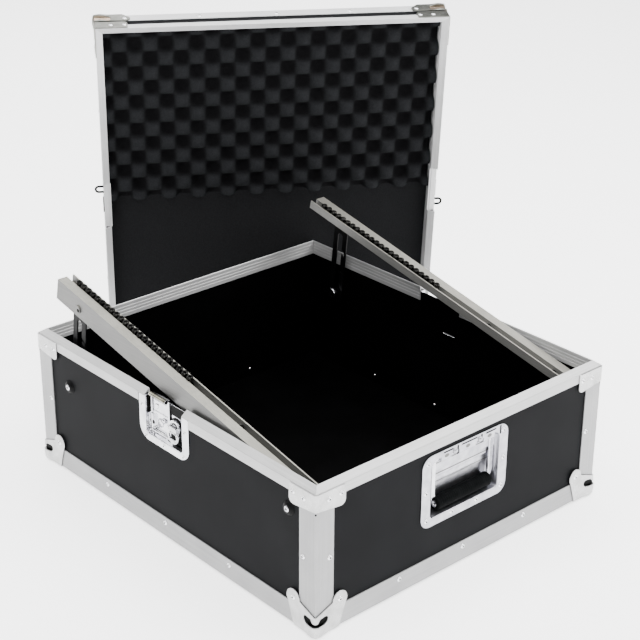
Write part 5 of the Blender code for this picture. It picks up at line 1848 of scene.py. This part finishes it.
@dataclass
class ButterflyLatch:
    """One latch: pressed tray, hook, cam and folding wing."""

    name: str
    side: Side
    width: float = 0.108
    low: float = 0.1287
    corner: float = 0.020
    sheet: float = 0.0010
    tray_width: float = 0.080
    tray_flange: float = 0.0105
    depth: float = 0.0101
    centre: float = 0.003
    step: float = 0.0005
    flange_rivets: tuple[Flat, ...] = ((-0.0470, 0.1790), (-0.0396, 0.1340), (-0.0003, 0.1338),
                                       (0.0425, 0.1348), (0.0465, 0.1725))
    floor_rivets: tuple[Flat, ...] = ((-0.0345, 0.1440), (0.0335, 0.1485), (0.0345, 0.1885))
    holes: tuple[Flat, ...] = ((-0.0365, 0.1522), (-0.0025, 0.1436))
    boss: Flat = (-0.0100, 0.1650)
    ring: Flat = (-0.0195, 0.1575)
    cam: Flat = (0.0160, 0.1655)
    ring_profile: tuple[Flat, ...] = ((0.0, 0.0007), (0.0040, 0.0007), (0.0044, 0.0004), (0.0048, 0.0004),
                                      (0.0051, 0.0013), (0.0056, 0.0016), (0.0062, 0.0012), (0.0064, -0.0002))
    bores: tuple[tuple[Flat, ...], ...] = (((0.0, 0.0004), (0.0023, 0.0004), (0.0026, -0.0002)),
                                           ((0.0, 0.0003), (0.0030, 0.0003), (0.0030, -0.0002)))
    channel: tuple[float, ...] = (-0.0402, 0.1680, -0.0384, 0.1940)
    # Rectangles of painted shade on the tray's floor, behind the hook and under the wing.
    shade_patches: tuple[tuple[float, ...], ...] = ((-0.0350, 0.1700, 0.0058, 0.1955),
                                               (0.0030, 0.1425, 0.0300, 0.1660))
    hollow: tuple[float, ...] = (0.0050, 0.1805, 0.0345, 0.1954)
    shelf: tuple[Flat, ...] = ((0.0085, 0.1405), (0.0345, 0.1405), (0.0345, 0.1452), (0.0085, 0.1440))
    cam_ring: tuple[Flat, ...] = ((0.0082, -0.0004), (0.0086, 0.0008), (0.0094, 0.0010), (0.0102, 0.0008),
                                  (0.0106, -0.0004))
    slot_reach: float = 0.0060
    hook_sheet: float = 0.0020
    hook_roll: float = 0.0031
    cam_sheet: float = 0.0035
    wing_face: float = 0.0024 + 0.0008

    def sign(self) -> float:
        """Which way is outward across the case."""
        return 1.0 if self.side is Side.RIGHT else -1.0

    def face(self) -> Matrix:
        """Frame on the flange's outer face, centred on the latch: along the wall, up and outward."""
        return on_face(self.side.face(), self.sign() * self.centre, 0.0, -CASE.skin + CASE.gap + self.sheet)

    def distance(self, grid: Pressing) -> Field:
        """Distance to the pressed tray, with depth behind its outer face.

        Args:
            grid: the points to measure at.

        Returns:
            The distance, negative inside the metal.
        """
        u, v, depth = grid.x, grid.y, -grid.z
        top = CASE.shoulder
        brim = top - 0.0018
        middle = (self.low + brim) / 2
        lower = plate(u, v, (0.0, middle), (self.width / 2, (brim - self.low) / 2), self.corner)
        upper = plate(u, v, (0.0, middle + 0.012), (self.width / 2, (brim - self.low) / 2 - 0.012), 0.003)
        flange = sheet_between(depth, np.minimum(lower, upper), 0.0, self.sheet)
        floor = self.low + self.tray_flange
        half = (self.tray_width / 2, (top - floor) / 2 + 0.01)
        mouth = plate(u, v, (0.0, floor + half[1]), half, 0.006) + 0.10 * depth
        pocket = merge_max(mouth, depth - self.depth, 0.0022)
        pan = merge_max(mouth - self.sheet, depth - self.depth - self.sheet, 0.0028)
        pan = np.maximum(np.maximum(pan, -depth), v - top)
        form = carve(merge(flange, pan, 0.0012), pocket, 0.0012)
        groove = rod(u, v, (-0.034, self.low + 0.0150), (-0.012, self.low + 0.0150), 0.0006)
        form = carve(form, np.maximum(groove, self.depth - 0.0006 - depth), 0.0004)
        channel = plate(u, v, (-0.0358, 0.1850), (0.0030, 0.0190), 0.0015)
        ridge = np.maximum(np.abs(channel) - 0.0005, np.abs(depth - self.depth + 0.0006) - 0.0010)
        return merge(form, ridge, 0.0008)

    def build(self, palette: Palette) -> None:
        """Build the latch's pieces.

        Args:
            palette: the shared materials.
        """
        grid = Pressing((-0.056, self.low - 0.0014, -self.depth - 0.0024),
                        (0.056, CASE.shoulder + 0.0012, 0.0012), self.step)
        data = grid.mesh("latch_tray_" + self.name, self.distance(grid), 0.14, 2)
        data.transform(self.face())
        sign = self.sign()
        paint_back(data, palette.zinc, palette.hidden,
                   lambda centre, normal: abs(centre.x) < 0.2580 and normal.x * sign < -0.2)
        settle("latch_tray_" + self.name, data, "base", palette.zinc, 60.0, node="latch_dish_" + self.name,
               slot="pressed_steel")
        places = [on_face(self.face(), u, v) for u, v in self.flange_rivets]
        RivetField(0.0029, 0.0013).build("rivets_latch_" + self.name, "base", places, palette)
        self.build_bright_floor(palette.zinc)
        self.build_dark_floor(palette.pins)
        dress("latch_hook_" + self.name, palette.zinc, 0.0004)
        dress("latch_cam_" + self.name, palette.rippled, 0.0004)
        dress("latch_wing_" + self.name, palette.rippled, 0.0004)
        self.build_hook(palette)
        self.build_cam(palette)
        self.build_wing(palette.zinc)

    def build_bright_floor(self, metal: Material) -> None:
        """Boss, spring ring and rivets on the tray's floor.

        Args:
            metal: metal of the piece.
        """
        form, floor, here = Form(), -self.depth, self.face()
        form.turned(dome(0.0041, 0.0042) + [(0.0052, 0.0004), (0.0054, -0.0002)],
                    on_face(here, *self.boss, floor), 24)
        form.turned(self.ring_profile, on_face(here, *self.ring, floor), 32)
        for spot in self.floor_rivets:
            form.turned(RivetField(0.0022, 0.0012).profile(), on_face(here, *spot, floor), 14)
        form.finish("latch_floor_fittings_" + self.name, "base", metal, 40.0, slot="pressed_steel")

    def build_dark_floor(self, dark: Material) -> None:
        """Near-black pieces on the tray's floor that paint its shade: in the bores, along the slot by the
        tray's wall, in the patches behind the hook and under the wing, on the shelf, in the hollow, and round
        the cam.

        Args:
            dark: the dark material.
        """
        form, floor, here = Form(), -self.depth, self.face()
        for outline in self.bores:
            for spot in self.holes:
                form.turned(outline, on_face(here, *spot, floor), 18)
        # Painted shade along the tray's wall beside the hook.
        form.slab(rectangle(*self.channel), floor + 0.0006, -0.0028, here)
        for recess in self.shade_patches:
            form.slab(rectangle(*recess), floor - 0.0001, floor + 0.0003, here)
        # Painted shadow: a near-black disc round the cam, outlining the cam and the wing.
        form.turned([(0.0, 0.0004), (0.0134, 0.0004), (0.0134, -0.0002)], on_face(here, *self.cam, floor), 32)
        form.slab(self.shelf, floor - 0.0001, floor + 0.0022, here, 0.0004)
        form.slab(rectangle(*self.hollow), floor - 0.0001, floor + 0.0004, here)
        form.finish("latch_floor_dark_" + self.name, "base", dark, 30.0, slot="black_steel")

    def outward(self, node: str) -> tuple[Matrix, Vector, Vector]:
        """Frame on a solid's inner face with outward as its third axis, and the solid's corners.

        Args:
            node: name of the solid.

        Returns:
            The frame, the lowest corner and the highest corner.
        """
        low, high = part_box(node)
        sign = self.sign()
        inner = low.x if sign > 0 else high.x
        basis = Matrix(((0, 0, sign, 0), (sign, 0, 0, 0), (0, 1, 0, 0), (0, 0, 0, 1)))
        place = Matrix.Translation((inner, (low.y + high.y) / 2, (low.z + high.z) / 2)) @ basis
        return place, low, high

    def build_hook(self, palette: Palette) -> None:
        """Raised ribs of the hook's plate, its rolled lip, and near-black fills painted as the shade in the
        plate's slit and the lip's bores.

        Args:
            palette: the shared materials.
        """
        body, face, up = "latch_hook_" + self.name, self.hook_sheet, Vector((0, 0, 1))
        place, low, high = self.outward(body)
        wide, tall = high.y - low.y, high.z - low.z
        form = Form()
        for height in (-tall / 2 + 0.0035, tall / 2 - 0.0100):
            path = [Vector((-wide / 2 + 0.004, height, face)), Vector((wide / 2 - 0.004, height, face))]
            form.swept(path, circle(0.0011, 30), up, place=place)
        form.turned([(0.0, 0.0019), (0.0028, 0.0016), (0.0036, 0.0006), (0.0038, -0.0002)],
                    on_face(place, -0.0085, -0.0040, face), 20)
        form.finish("hook_ribs_" + self.name, body, palette.zinc, 40.0, slot="pressed_steel")
        lip, roll = (tall / 2 - 0.0030, 0.0060), Form()
        ends = [Vector((end * (wide / 2 - 0.0004), *lip)) for end in (-1, 1)]
        roll.swept(ends, circle(self.hook_roll, 20), up, place=place)
        roll.finish("hook_roll_" + self.name, body, palette.bronze, 40.0, slot="pressed_steel")
        # Painted shade: a near-black strip for the slit and discs in the lip's open ends.
        form = Form()
        form.slab(rectangle(-0.0130, 0.0040, 0.0130, 0.0056), face - 0.0004, face + 0.00015, place)
        for end in (-1, 1):
            bore = sideways(on_face(place, end * (wide / 2 + 0.00005), *lip), end)
            form.turned([(0.0, 0.0001), (0.0019, 0.0001), (0.0019, -0.0010)], bore, 16)
        form.finish("hook_slits_" + self.name, body, palette.pins, 30.0, slot="black_steel")

    def build_cam(self, palette: Palette) -> None:
        """Pressed ring of the cam, and near-black curved strips painted as the shade in its slots.

        Args:
            palette: the shared materials.
        """
        body, face = "latch_cam_" + self.name, self.cam_sheet
        place = self.outward(body)[0]
        form = Form()
        form.turned(self.cam_ring, on_face(place, 0, 0, face), 36)
        form.finish("cam_ring_" + self.name, body, palette.zinc, 40.0, slot="pressed_steel")
        # Painted shade: near-black strips in the cam's curved slots.
        form = Form()
        for start in (20, 200):
            arc = [Vector((self.slot_reach * math.cos(angle), self.slot_reach * math.sin(angle), face))
                   for angle in turns(start, start + 121, 12)]
            form.swept(arc, [(0.0010, 0.0002), (-0.0010, 0.0002), (-0.0010, -0.0004), (0.0010, -0.0004)],
                       Vector((1, 0, 0)), place=place)
        form.finish("cam_slots_" + self.name, body, palette.pins, 30.0, slot="black_steel")

    def build_wing(self, metal: Material) -> None:
        """Raised bead round the wing's finger hole.

        Args:
            metal: metal of the piece.
        """
        body, form = "latch_wing_" + self.name, Form()
        place, low, high = self.outward(body)
        middle = high.z - 0.0024 - 0.0116 - (high.z + low.z) / 2
        bead = [Vector((u + math.copysign(0.0035, u), middle + v, self.wing_face))
                for u, v in circle(0.0056, 15)]
        form.swept(bead, circle(0.0009, 45), Vector((0, 0, 1)), closed=True, place=place)
        form.finish("wing_bead_" + self.name, body, metal, 60.0, slot="pressed_steel")


@dataclass
class RackRail:
    """One rack rail with its threaded seats, strut and bolts."""

    name: str
    sign: float
    tilt: float = math.radians(12.0)
    pivot_y: float = -0.250
    pivot_z: float = 0.1547
    web: float = 0.2505
    shelf: float = 0.015
    groove: float = 0.010
    floor: float = 0.0127
    strip_start: float = 0.243
    strip_end: float = 0.508
    strip_sheet: float = 0.0035
    first_seat: float = 0.0047
    pitch: float = 0.04445 / 4
    seats: int = 24
    collar: tuple[Flat, ...] = ((0.0, 0.0034), (0.0019, 0.0034), (0.0021, 0.0128), (0.0026, 0.0143),
                                (0.0034, 0.0149), (0.0043, 0.0143), (0.0048, 0.0128), (0.0048, 0.0112),
                                (0.0040, 0.0100), (0.0038, 0.0030))
    screw: tuple[Flat, ...] = ((0.0, 0.0030), (0.0022, 0.0030), (0.0026, 0.0062), (0.0040, 0.0064),
                               (0.0044, 0.0052), (0.0044, 0.0))
    washer: tuple[Flat, ...] = ((0.0042, 0.0042), (0.0058, 0.0040), (0.0078, 0.0030), (0.0094, 0.0012),
                                (0.0102, 0.0))
    bolt_head: tuple[Flat, ...] = ((0.0, 0.0050), (0.0030, 0.0049), (0.0040, 0.0044), (0.0044, 0.0036),
                                   (0.0044, 0.0030))
    screw_places: Flat = (0.139, 0.010)
    stud: Flat = (0.4728, 0.0036)
    knob_turn: tuple[Flat, ...] = ((-1.0, 0.62), (-1.0, 0.86), (-0.86, 0.96), (-0.6, 1.0), (0.6, 1.0),
                                   (0.86, 0.96), (1.0, 0.86), (1.0, 0.62))
    knob_steps: int = 72
    flutes: int = 12

    def frame(self) -> Matrix:
        """Frame of the rail: sideways, along it and up from the pivot."""
        return Matrix.Translation((0.0, self.pivot_y, self.pivot_z)) @ Matrix.Rotation(self.tilt, 4, "X")

    def build_strip(self, palette: Palette) -> None:
        """The threaded strip: a flat bar with a collared, drilled seat for every bolt.

        Args:
            palette: the shared materials.
        """
        here, body = self.frame(), "rail_" + self.name
        x = self.sign * (self.web - self.shelf - self.groove / 2)
        base, half = self.floor + CASE.gap, self.groove / 2 - CASE.gap
        seats = [on_face(here, x, self.strip_start + self.first_seat + index * self.pitch, base)
                 for index in range(self.seats)]
        form = Form()
        bar = rectangle(x - half, self.strip_start, x + half, self.strip_end)
        form.slab(bar, base, base + self.strip_sheet, here, 0.0003)
        for seat in seats:
            form.turned(self.collar, seat, 20)
        form.finish("threaded_strip_" + self.name, body, palette.dark, 40.0, node="thread_strip_" + self.name,
                    slot="black_steel")
        # Painted shade: near-black plugs down the seats' bores; also a near-black disc on the web at the
        # stud.
        form = Form()
        for seat in seats:
            form.turned([(0.0, 0.0098), (0.0020, 0.0098), (0.0020, 0.0030)], seat, 14)
        stud = sideways(on_face(here, self.sign * (self.web + 0.0020), *self.stud), self.sign)
        form.turned([(0.0, 0.0006), (0.0022, 0.0005), (0.0026, 0.0001), (0.0026, -0.0004)], stud, 18)
        form.finish("rail_bores_" + self.name, body, palette.pins, 40.0, slot="black_steel")
        form = Form()
        for along in self.screw_places:
            form.turned(self.screw, on_face(here, x, along, self.floor), 20)
        form.finish("rail_screws_" + self.name, body, palette.dark, 40.0, slot="black_steel")

    def build(self, steel: Material, palette: Palette) -> None:
        """Dress the rail, the strut and the bolts, and build the strip.

        Args:
            steel: metal of the rail.
            palette: the shared materials.
        """
        dress("rail_" + self.name, steel, 0.0004)
        dress("strut_" + self.name, palette.paint, 0.0003)
        self.build_strip(palette)
        for part in ("pivot_bolt_", "clamp_bolt_"):
            self.build_bolt(part + self.name, palette)
        self.build_knob(palette.zinc)

    def build_bolt(self, node: str, palette: Palette) -> None:
        """Dress a bolt, and set a cross-slotted head over a dark washer on the wall.

        Args:
            node: name of the solid.
            palette: the shared materials.
        """
        dress(node, palette.paint, 0.0002)
        low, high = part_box(node)
        spot = Vector((0.0, (low.y + high.y) / 2, (low.z + high.z) / 2))
        seat = self.sign * (CASE.half_width - CASE.skin + CASE.gap)
        place = sideways(Matrix.Translation((seat, spot.y, spot.z)), self.sign)
        form = Form()
        form.turned(self.washer, place, 32)
        form.finish("washer_" + node, "base", palette.paint, 40.0, slot="black_steel")
        # Painted shade: the cross slots are near-black paint slabs standing on the bright head.
        form = Form()
        for turn in (0.0, math.pi / 2):
            slot = on_face(place @ Matrix.Rotation(turn + 0.4, 4, "Z"), 0, 0, 0.0048)
            form.slab(rectangle(-0.0022, -0.0006, 0.0022, 0.0006), -0.0006, 0.00035, slot)
        form.finish("cross_slot_" + node, "base", palette.paint, 30.0, slot="black_steel")
        form = Form()
        form.turned(self.bolt_head, place, 28)
        form.finish("bright_head_" + node, "base", palette.zinc, 40.0, slot="pressed_steel")

    def build_knob(self, bright: Material) -> None:
        """A fluted clamp knob over its solid.

        Args:
            bright: metal of the knob.
        """
        node, count, points = "clamp_knob_" + self.name, self.knob_steps, []
        low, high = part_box(node)
        width, radius = (high.x - low.x) / 2, (high.z - low.z) / 2
        for level, share in self.knob_turn:
            for index in range(count):
                angle = 2 * math.pi * index / count
                flute = 1.0 - 0.035 * (0.5 + 0.5 * math.cos(self.flutes * angle)) if share > 0.8 else 1.0
                reach = radius * share * flute
                points.append((width * level, reach * math.cos(angle), reach * math.sin(angle)))
        form = Form()
        form.add(points, bands(len(self.knob_turn), count, True), Matrix.Translation((low + high) / 2))
        form.finish("fluted_knob_" + self.name, node, bright, 40.0, node=node, slot="pressed_steel")


@dataclass
class LidFittings:
    """The lid's rivets and its keepers."""

    top_places: tuple[float, ...] = (-0.118, -0.006, 0.110)
    side_places: tuple[float, ...] = (-0.150, 0.150)
    leg_line: float = 0.0212
    side_line: float = 0.0120
    centre: float = 0.003
    plate_half: float = 0.0380
    plate_sheet: float = 0.0011
    plate_edges: tuple[Point, ...] = ((0.0, 0.0215, 0.0286), (0.0100, 0.0391, 0.0402))
    plate_rivets: float = 0.0250
    rivet_pitch: float = 0.015
    ring_offset: float = 0.0255
    ring_reach: float = 0.0088
    ring_root: float = 0.0009
    ring_radius: float = 0.0048
    ring_height: float = 0.0338
    wire: float = 0.0018

    def build(self, palette: Palette) -> None:
        """Set the rivets and dress the keepers.

        Args:
            palette: the shared materials.
        """
        places, lobes = [], []
        for side in Side:
            along = self.top_places if side in (Side.FRONT, Side.REAR) else self.side_places
            places += edge_rivets(LID, side, along, -CASE.skin, self.side_line, self.leg_line)
        RivetField().build("rivets_lid", "lid", places, palette)
        for corner in Corner:
            lobes += ball_corner_rivets(LID @ corner.frame(-CASE.skin), (0.0445, 0.0150), 0.0018)
        RivetField(0.0032, 0.0013).build("rivets_lid_corners", "lid", lobes, palette)
        # Painted light: the catch plates take the lid's far lighter copy of the aluminium.
        plates = LIT_LID_ALUMINIUM.material("catch_plate_metal", Streak.Y, LID)
        for name, sign in (("left", -1.0), ("right", 1.0)):
            dress("lid_keeper_" + name, palette.zinc, 0.0002)
            self.build_plate(name, sign, plates)
            self.build_ring(name, sign, palette.pins)

    def build_plate(self, name: str, sign: float, metal: Material) -> None:
        """The riveted plates round a keeper.

        Args:
            name: side of the lid.
            sign: which way is outward across the lid.
            metal: metal of the plates.
        """
        seat = sign * (CASE.half_width - CASE.skin + CASE.gap)
        low, high = self.centre - self.plate_half, self.centre + self.plate_half
        face = seat + sign * self.plate_sheet
        form = Form()
        for inward, start, end in self.plate_edges:
            left, right = sorted((seat - sign * inward, face))
            form.slab(rectangle(left, low, right, high), start, end, LID)
        for step in range(-2, 3):
            spot = on_face(LID, face, self.centre + step * self.rivet_pitch, self.plate_rivets)
            form.turned(RivetField(0.0022, 0.0010).profile(), sideways(spot, sign), 12)
        form.finish("catch_plate_" + name, "lid", metal, 40.0, slot="pressed_steel")

    def build_ring(self, name: str, sign: float, metal: Material) -> None:
        """The wire ring of a keeper.

        Args:
            name: side of the lid.
            sign: which way is outward across the lid.
            metal: metal of the wire.
        """
        form, path, radius, seat = Form(), [], self.ring_radius, CASE.half_width - CASE.skin
        for middle, first in ((sign * (seat + self.ring_reach), -90), (sign * (seat + self.ring_root), 90)):
            for angle in turns(first, first + 181, 20):
                path.append(Vector((middle + sign * radius * math.cos(angle),
                                    self.centre - sign * self.ring_offset + radius * math.sin(angle),
                                    self.ring_height)))
        form.swept(path, circle(self.wire, 45), Vector((0, 0, 1)), closed=True, place=LID)
        form.finish("catch_ring_" + name, "lid", metal, 60.0, slot="pressed_steel")


@dataclass
class LidLining:
    """Egg-crate foam over a flat dark sheet."""

    half: Flat = (0.2539, 0.2899)
    base: float = 0.0068
    sheet: float = 0.0105
    bump: float = 0.018
    pitch: float = 0.050
    columns: int = 11
    lower_edge: float = 0.007
    swell: float = 0.60
    grid: tuple[int, int] = (200, 112)

    def height(self, across: float, up: float) -> float:
        """Height of the foam's face at a point of the lid.

        Args:
            across: place across the lid.
            up: place up the lid.

        Returns:
            The height over the lid's outer face.
        """
        tall = self.half[1] - self.lower_edge
        column = (across + self.half[0]) / (2 * self.half[0]) * self.columns
        row = (up - self.lower_edge) / tall * round(tall / self.pitch)
        wave = math.cos(2 * math.pi * column) * math.cos(2 * math.pi * row)
        return self.base + self.sheet + self.bump * (0.5 + 0.5 * math.copysign(abs(wave) ** self.swell, wave))

    def form(self) -> Form:
        """The bumps, the flat part below them, their edges and the back.

        Returns:
            The mesh under construction.
        """
        flat = [-self.half[1], -self.half[1] + 0.002, self.lower_edge - 0.0030, self.lower_edge - 0.0015]
        columns, rows = self.grid
        reach = self.half[1] - self.lower_edge
        ups = flat + [self.lower_edge + reach * row / rows for row in range(rows + 1)]
        acrosses = [-self.half[0] + 2 * self.half[0] * column / columns for column in range(columns + 1)]
        points, faces = [], []
        for row, up in enumerate(ups):
            for across in acrosses:
                height = self.base + self.sheet if row < len(flat) else self.height(across, up)
                points.append((across, up, height))
        wide, tall = len(acrosses), len(ups)
        for row in range(tall - 1):
            for start in range(row * wide, row * wide + wide - 1):
                faces.append((start, start + 1, start + wide + 1, start + wide))
        rim = list(range(wide)) + [row * wide + wide - 1 for row in range(1, tall)]
        rim += [(tall - 1) * wide + column for column in range(wide - 2, -1, -1)]
        rim += [row * wide for row in range(tall - 2, 0, -1)]
        first, count = len(points), len(rim)
        points += [(points[index][0], points[index][1], self.base) for index in rim]
        for step in range(count):
            after = (step + 1) % count
            faces.append((rim[after], rim[step], first + step, first + after))
        faces.append(tuple(reversed(range(first, first + count))))
        form = Form()
        form.add(points, faces, LID)
        return form

    def build(self) -> None:
        """The lining as one padded piece in place of its solid."""
        low, high = self.base + self.sheet, self.base + self.sheet + self.bump
        foam = Foam().material("egg_crate_foam", low, high)
        piece = self.form().finish("egg_crate_lining", "lid", foam, 80.0, node="lid_foam", slot="foam")
        piece.data.materials.append(Foam(deep=(0.0110, 0.0113, 0.0120)).material("flat_lining", low, high))
        back = LID.inverted()
        for face in piece.data.polygons:
            face.material_index = int((back @ face.center).y < self.lower_edge - 0.001)


def main() -> None:
    """Build the studio and every piece of the case, in order."""
    Studio().build()
    palette = Palette()
    # Painted light: the left rail takes the darker, shaded copy of the rail steel, and the right rail takes
    # the lighter copy.
    rails = {"left": SHADED_STEEL.material("rail_steel_left", Streak.Y),
             "right": GALVANISED_LIT.material("rail_steel_right", Streak.Y)}
    Boards().build()
    EdgeMetal().build()
    Braces().build(palette)
    BaseRivets().build(palette)
    build_ball_corners(palette)
    CarryHandle().build(palette)
    for name, side, sign in (("left", Side.LEFT, -1.0), ("right", Side.RIGHT, 1.0)):
        ButterflyLatch(name, side).build(palette)
        RackRail(name, sign).build(rails[name], palette)
    LidFittings().build(palette)
    LidLining().build()


if __name__ == "__main__":
    main()
